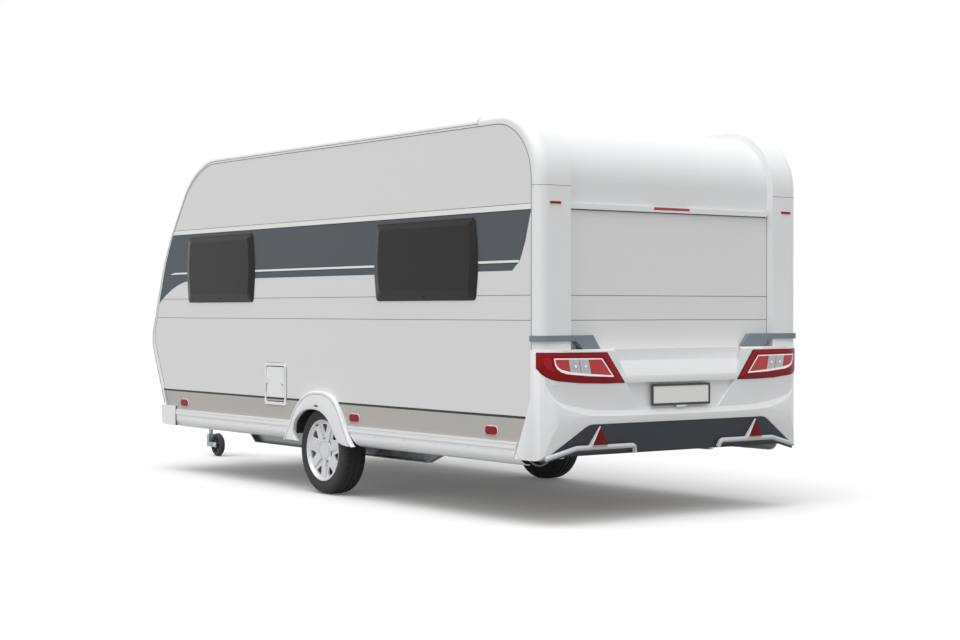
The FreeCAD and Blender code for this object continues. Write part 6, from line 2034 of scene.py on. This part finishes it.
@dataclass
class Nose(Assembly):
    """Front window seal, locker lid trim, grab handles and front lamps."""

    window: Corner = (0.750, 1.420, 1.960)
    lid: Corner = (0.816, 0.642, 1.144)
    lower_lean: float = 24.5
    upper_lean: float = -20.1
    panel_level: float = 0.860
    lock_level: float = 0.700
    lock_place: float = 0.520
    handle_level: float = 0.830
    handle_place: float = 0.935
    handle_half: float = 0.115
    lamp_level: float = 1.330
    lamp_place: float = 0.985

    def lay(self, piece: Shape, name: str, level: float, lean: float) -> Shape:
        """Lays a piece made at the origin, facing forward, on the nose.

        Args:
            piece: The piece, which is used up.
            name: Name of the laid piece.
            level: Level of its middle.
            lean: How far the face leans back below, in degrees.

        Returns:
            The laid piece.
        """
        change = Matrix.Translation((nose_face(level), 0, level)) @ Matrix.Rotation(
            math.radians(lean), 4, "Y")
        laid = Bench.copy(piece, name, change)
        bpy.data.objects.remove(piece)
        return laid

    def build(self) -> None:
        """Adds the seals, the lid's panel and locks, and the fittings."""
        half, low, high = self.window
        path = nose_loop(half + 0.004, low - 0.004, high + 0.004, 0.094)
        self.seat(Bench.tube("nose_window_seal", path, 0.006, closed=True), Look.BLACK_RUBBER)
        seam = Bench.tube("lid_seam", nose_loop(*self.lid, 0.002, -0.003), 0.0032, closed=True,
                          sides=6)
        self.seat(seam, Look.BLACK_RUBBER)
        panel = Bench.pad("panel", "x", -0.001, 0.004, centred(0, 0, 0.640, 0.110, 0.030),
                          0.0035, 3)
        self.seat(self.lay(panel, "lid_panel", self.panel_level, self.lower_lean),
                  Look.MOULDED_WHITE, "locker_lid")
        places = (-self.lock_place, self.lock_place)
        locks = [Bench.turned("lock", "x", (0, y, 0), [
            (-0.001, 0.0), (-0.001, 0.024), (0.004, 0.023, 0.002), (0.005, 0.0)], 28)
            for y in places]
        slits = [Bench.plate("slit", "x", 0.0045, 0.0058, centred(y, 0, 0.0015, 0.008))
                 for y in places]
        for name, pieces, look in (("lid_locks", locks, Look.SILVER_TRIM),
                                   ("lid_slits", slits, Look.BLACK_PLASTIC)):
            self.seat(self.lay(Bench.join("both", *pieces), name, self.lock_level,
                               self.lower_lean), look, "locker_lid")
        self.fittings()

    def fittings(self) -> None:
        """Adds the grab handles and the front lamps on both sides."""
        half = self.handle_half
        for side in Side:
            y = side.value * self.handle_place
            bar = Bench.tube("bar", [(0, y, -half), (0.048, y, -half, 0.022),
                                     (0.048, y, half, 0.022), (0, y, half)], 0.011, sides=12)
            feet = [Bench.turned("foot", "x", (0, y, z), [
                (-0.002, 0.0), (-0.002, 0.024), (0.006, 0.021, 0.002), (0.006, 0.0)], 24)
                for z in (-half, half)]
            handle = self.lay(Bench.join("handle", bar, *feet), f"grab_handle_{side.word}",
                              self.handle_level, self.lower_lean)
            self.seat(handle, Look.SILVER_TRIM)
            y = side.value * self.lamp_place
            base = Bench.pad("base", "x", -0.002, 0.006, centred(y, 0, 0.056, 0.024, 0.022),
                             0.002)
            lens = Bench.pad("lens", "x", 0.005, 0.016, centred(y, 0, 0.048, 0.017, 0.015),
                             0.004, 3)
            for word, piece, look in (("base", base, Look.MOULDED_WHITE),
                                      ("lens", lens, Look.CLEAR_LENS)):
                self.seat(self.lay(piece, f"front_lamp_{word}_{side.word}", self.lamp_level,
                                   self.upper_lean), look)


@dataclass
class JockeyWheel(Assembly):
    """The jockey wheel with its clamp, tube and fork."""

    sleeve: Span = (3.031, 0.092)
    crank_reach: float = 0.110
    collar_levels: Span = (0.292, 0.622)
    clamp_level: float = 0.430
    clamp_face: float = 0.118
    clamp_half: float = 0.045
    hub: Corner = (2.891, 0.092, 0.108)
    web_half: float = 0.0049
    rim_half: float = 0.020
    rib_count: int = 5

    def build(self) -> None:
        """Dresses the jockey wheel's pieces and adds grip, collars, clamp and ribs."""
        self.dress(Look.ZINC, "jockey_sleeve", "jockey_tube", "jockey_fork")
        self.dress(Look.BLACK_RUBBER, "jockey_wheel")
        x, y = self.sleeve
        grip = Bench.turned("crank_grip", "z", (x - self.crank_reach, y, 0.0), [
            (0.712, 0.0092), (0.712, 0.013, 0.002), (0.730, 0.0142, 0.01),
            (0.759, 0.0125, 0.003), (0.7605, 0.0)], 20)
        self.seat(grip, Look.BLACK_PLASTIC)
        collars = [Bench.turned("collar", "z", (x, y, z), [
            (0.0, 0.0268), (0.0, 0.0300), (0.012, 0.0300), (0.012, 0.0268)], 32, ring=True)
            for z in self.collar_levels]
        self.seat(Bench.join("sleeve_collars", *collars), Look.STEEL)
        level = self.clamp_level
        screw = Bench.turned("clamp_screw", "y", (x, self.clamp_face, level), [
            (0.0, 0.0), (0.0, 0.010), (0.010, 0.010), (0.010, 0.006), (0.046, 0.006),
            (0.046, 0.0)], 20)
        ends = [(x + way * self.clamp_half, self.clamp_face + 0.042, level) for way in (-1, 1)]
        self.seat(Bench.join("clamp_handle", screw, Bench.tube("bar", ends, 0.0055, sides=10)),
                  Look.STEEL)
        cx, cy, cz = self.hub
        for word, face, out in (("outer", 0.125, 1), ("inner", 0.059, -1)):
            self.seat(Bench.bolt(f"jockey_nut_{word}", "y", (cx, face, cz), 0.019, out),
                      Look.STEEL, "jockey_fork")
        ribs = []
        for low, high in ((self.web_half, self.rim_half), (-self.rim_half, -self.web_half)):
            rib = Bench.plate("rib", "y", cy + low, cy + high,
                              centred(cx, cz + 0.04875, 0.004, 0.02575))
            ribs.append(Bench.around(rib, "y", self.hub, self.rib_count))
        self.seat(Bench.join("jockey_ribs", *ribs), Look.BLACK_PLASTIC, "jockey_wheel")


@dataclass
class Drawbar(Assembly):
    """Drawbar arms, overrun unit, coupling and levers."""

    level: float = 0.430
    bellows_start: float = 3.112
    folds: int = 9
    fold: float = 0.019
    flange_place: float = 0.046
    lever_place: float = 2.938

    def build(self) -> None:
        """Dresses the drawbar's pieces and adds bellows, bolts and grips."""
        self.dress(Look.ZINC, "drawbar_arms", "overrun_unit")
        self.dress(Look.IRON, "coupling_head")
        self.dress(Look.BLACK_PLASTIC, "hand_levers")
        folds = []
        for step in range(self.folds):
            x = self.bellows_start + step * self.fold
            folds += [(x, 0.0345), (x + self.fold / 2, 0.0425)]
        bellows = Bench.turned("bellows", "x", (0.0, 0.0, self.level), [
            (3.107, 0.0322), (3.107, 0.038), *folds, (3.286, 0.036), (3.286, 0.0322)],
            28, ring=True)
        self.seat(bellows, Look.BLACK_RUBBER)
        bolts = [Bench.bolt("flange", "x", (3.106, y, self.level + z), 0.015)
                 for y in (-self.flange_place, self.flange_place)
                 for z in (-self.flange_place, self.flange_place)]
        self.seat(Bench.join("flange_bolts", *bolts), Look.STEEL)
        root = Bench.bolt("root", "z", (1.450, 0.620, 0.455), 0.019)
        self.seat_pair(Bench.row(root, 2, (0.110, -0.046, 0)), "arm_bolts", Look.STEEL)
        grip = Bench.turned("brake_grip", "z", (self.lever_place, 0.0, 0.0), [
            (0.660, 0.0), (0.660, 0.0172), (0.672, 0.0182, 0.004), (0.764, 0.0182, 0.006),
            (0.778, 0.010, 0.004), (0.778, 0.0)], 24)
        self.seat(grip, Look.BLACK_RUBBER)
        knob = Bench.turned("brake_release", "z", (self.lever_place, 0.0, 0.777), [
            (0.0, 0.0), (0.0, 0.006), (0.010, 0.006, 0.002), (0.010, 0.0)], 16)
        self.seat(knob, Look.RED_LENS)
        pivot = Bench.bolt("pivot", "y", (3.351, 0.044, 0.445), 0.017)
        self.seat_pair(pivot, "coupling_bolt", Look.STEEL)
        handle = Bench.pad("coupling_grip", "y", -0.016, 0.016, [
            (3.100, 0.499, 0.006), (3.300, 0.499, 0.010), (3.322, 0.504, 0.006),
            (3.300, 0.514, 0.02), (3.180, 0.516, 0.05), (3.104, 0.508, 0.004)], 0.003, 3)
        self.seat(handle, Look.BLACK_PLASTIC)


@dataclass
class Underframe(Assembly):
    """Chassis rails, cross members, axle and corner steadies."""

    rail_face: float = 0.702
    plate_thick: float = 0.007
    plate: tuple[Corner, ...] = (
        (-0.860, 0.440, 0.01), (-0.860, 0.330, 0.03), (-0.740, 0.278, 0.02),
        (-0.620, 0.278, 0.02), (-0.500, 0.330, 0.03), (-0.500, 0.440, 0.01))
    rail_bolts: tuple[tuple[str, float], ...] = (("rear", -2.600), ("front", 0.000))
    steady_nuts: tuple[tuple[str, float], ...] = (("rear", -2.424), ("front", 0.936))

    def build(self) -> None:
        """Dresses what lies under the floor and adds bolts, plates and nuts."""
        self.dress(Look.ZINC, "chassis_rails", "cross_members", "axle_beam", "steady_brackets",
                   "steady_leg_front_left", "steady_leg_front_right", "steady_leg_rear_left",
                   "steady_leg_rear_right")
        face, outer = self.rail_face, self.rail_face + self.plate_thick
        plate = Bench.pad("plate", "y", face, outer, list(self.plate), 0.002)
        self.seat_pair(plate, "axle_plate", Look.ZINC)
        bolt = Bench.bolt("bolt", "y", (-0.830, outer, 0.415), 0.024)
        self.seat_pair(Bench.row(bolt, 4, (0.100, 0, 0)), "axle_bolts", Look.STEEL)
        for word, start in self.rail_bolts:
            clip = Bench.bolt("clip", "y", (start, face, 0.428), 0.017)
            self.seat_pair(Bench.row(clip, 4, (0.330, 0, 0)), f"rail_bolts_{word}", Look.STEEL)
        for word, x in self.steady_nuts:
            nut = Bench.turned("nut", "x", (x, 0.800, 0.420), [
                (0.0, 0.0), (0.0, 0.009), (0.024, 0.009), (0.024, 0.0)], 6)
            self.seat_pair(nut, f"steady_nut_{word}", Look.STEEL)


@dataclass
class Studio:
    """Floor, lights, surroundings and camera."""

    eye: Corner = (-12.067, 8.041, 1.371)
    heading: float = -36.367
    pitch: float = -0.306
    lens: float = 66.72
    sensor: float = 36
    view_end: float = 200
    floor_reach: float = 60.0
    floor_shade: float = 0.09
    floor_return: Paint = (0.3, 0.3, 0.3, 1)
    sky_level: float = 0.45
    sun_reach: float = 12
    suns: tuple[tuple[str, Corner, float, float], ...] = (
        ("top_light", (0.0, 0.30, 1.0), 50, 1.35), ("rear_light", (-0.45, 0.15, 1.0), 70, 1.25),
        ("side_light", (0.0, 1.0, 0.35), 60, 0.52))

    def floor(self) -> None:
        """Lays the pale floor, white to the eye but for the caravan's shadow."""
        Bench.clear()
        bpy.ops.mesh.primitive_plane_add(size=self.floor_reach, location=(0, 0, 0))
        ground = Bench.settle("studio_floor")
        with Bench.editing(ground):
            bpy.ops.mesh.select_all(action="SELECT")
            bpy.ops.mesh.subdivide(number_cuts=3)
        graph = Graph("studio_floor", Roughness=0.9)
        graph.finish(Base_Color=graph.ramp(graph.noise(0.4, 2.0), (0.3, (0.80, 0.80, 0.81, 1)),
                                           (0.7, (0.82, 0.82, 0.82, 1))))
        tree = graph.tree
        path = wired(tree, "LightPath").outputs
        seen = wired(tree, "Math", path["Is Camera Ray"], path["Is Glossy Ray"], way="MAXIMUM")
        share = wired(tree, "Math", seen.outputs[0], self.floor_shade, way="MULTIPLY")
        glow = wired(tree, "Emission", (1, 1, 1, 1), share.outputs[0])
        both = wired(tree, "AddShader", graph.shader.outputs[0], glow.outputs[0])
        dim = wired(tree, "BsdfDiffuse", self.floor_return)
        choice = wired(tree, "MixShader", path["Is Diffuse Ray"], both.outputs[0],
                       dim.outputs[0])
        feed(tree, tree.nodes["Material Output"].inputs["Surface"], choice.outputs[0])
        ground.data.materials.append(graph.material)

    def surroundings(self) -> None:
        """Sets a white backdrop for the eye and a plain grey light for the object."""
        world = bpy.data.worlds.new("studio_world")
        bpy.context.scene.world = world
        world.use_nodes = True
        tree = world.node_tree
        path = wired(tree, "LightPath").outputs
        seen = path["Is Camera Ray"]
        for kind in ("Is Glossy Ray", "Is Transmission Ray"):
            seen = wired(tree, "Math", seen, path[kind], way="MAXIMUM").outputs[0]
        level = wired(tree, "MapRange", seen, 0.0, 1.0, self.sky_level, 1.0)
        shown = tree.nodes["Background"]
        feed(tree, shown.inputs["Strength"], level.outputs["Result"])
        feed(tree, shown.inputs["Color"], (1, 1, 1, 1))

    def lamp(self, name: str, way: Corner, spread: float, power: float) -> None:
        """Adds one soft light that falls evenly from one way.

        Args:
            name: Name of the light.
            way: The way it comes from.
            spread: How soft it is, in degrees.
            power: Its strength.
        """
        Bench.clear()
        bpy.ops.object.light_add(type="SUN", location=Vector(way).normalized() * self.sun_reach)
        light = bpy.context.object
        light.name = name
        light.data.angle = math.radians(spread)
        light.data.energy = power
        light.rotation_euler = Vector(way).to_track_quat("Z", "Y").to_euler()

    def camera(self) -> None:
        """Stands the camera where the picture was taken from."""
        Bench.clear()
        bpy.ops.object.camera_add(location=self.eye)
        camera = bpy.context.object
        turn, tip = math.radians(self.heading), math.radians(self.pitch)
        way = Vector((math.cos(turn) * math.cos(tip), math.sin(turn) * math.cos(tip),
                      math.sin(tip)))
        camera.rotation_euler = way.to_track_quat("-Z", "Y").to_euler()
        camera.data.lens = self.lens
        camera.data.sensor_width = self.sensor
        camera.data.clip_end = self.view_end
        bpy.context.scene.camera = camera

    def build(self) -> None:
        """Sets up the whole studio."""
        self.camera()
        self.floor()
        self.surroundings()
        for sun in self.suns:
            self.lamp(*sun)
        bpy.context.scene.view_settings.view_transform = "Standard"


def main() -> None:
    """Builds every sub-assembly in order and reports each."""
    logging.basicConfig(level=logging.INFO, format="%(name)s: %(message)s")
    Studio().build()
    assemblies = [
        Cabin(), SideDecor(), RearPanel(), RearBumper(), LampClusters(), BumperTrim(), Windows(),
        ServiceHatch(), EntranceDoor(), Skirts(), RoofGear(), Nose(),
        RoadWheel(side=Side.LEFT), RoadWheel(side=Side.RIGHT), JockeyWheel(), Drawbar(),
        Underframe()]
    for assembly in assemblies:
        assembly.build()
        log.info("%s: %d pieces", type(assembly).__name__, assembly.made)


if __name__ == "__main__":
    main()
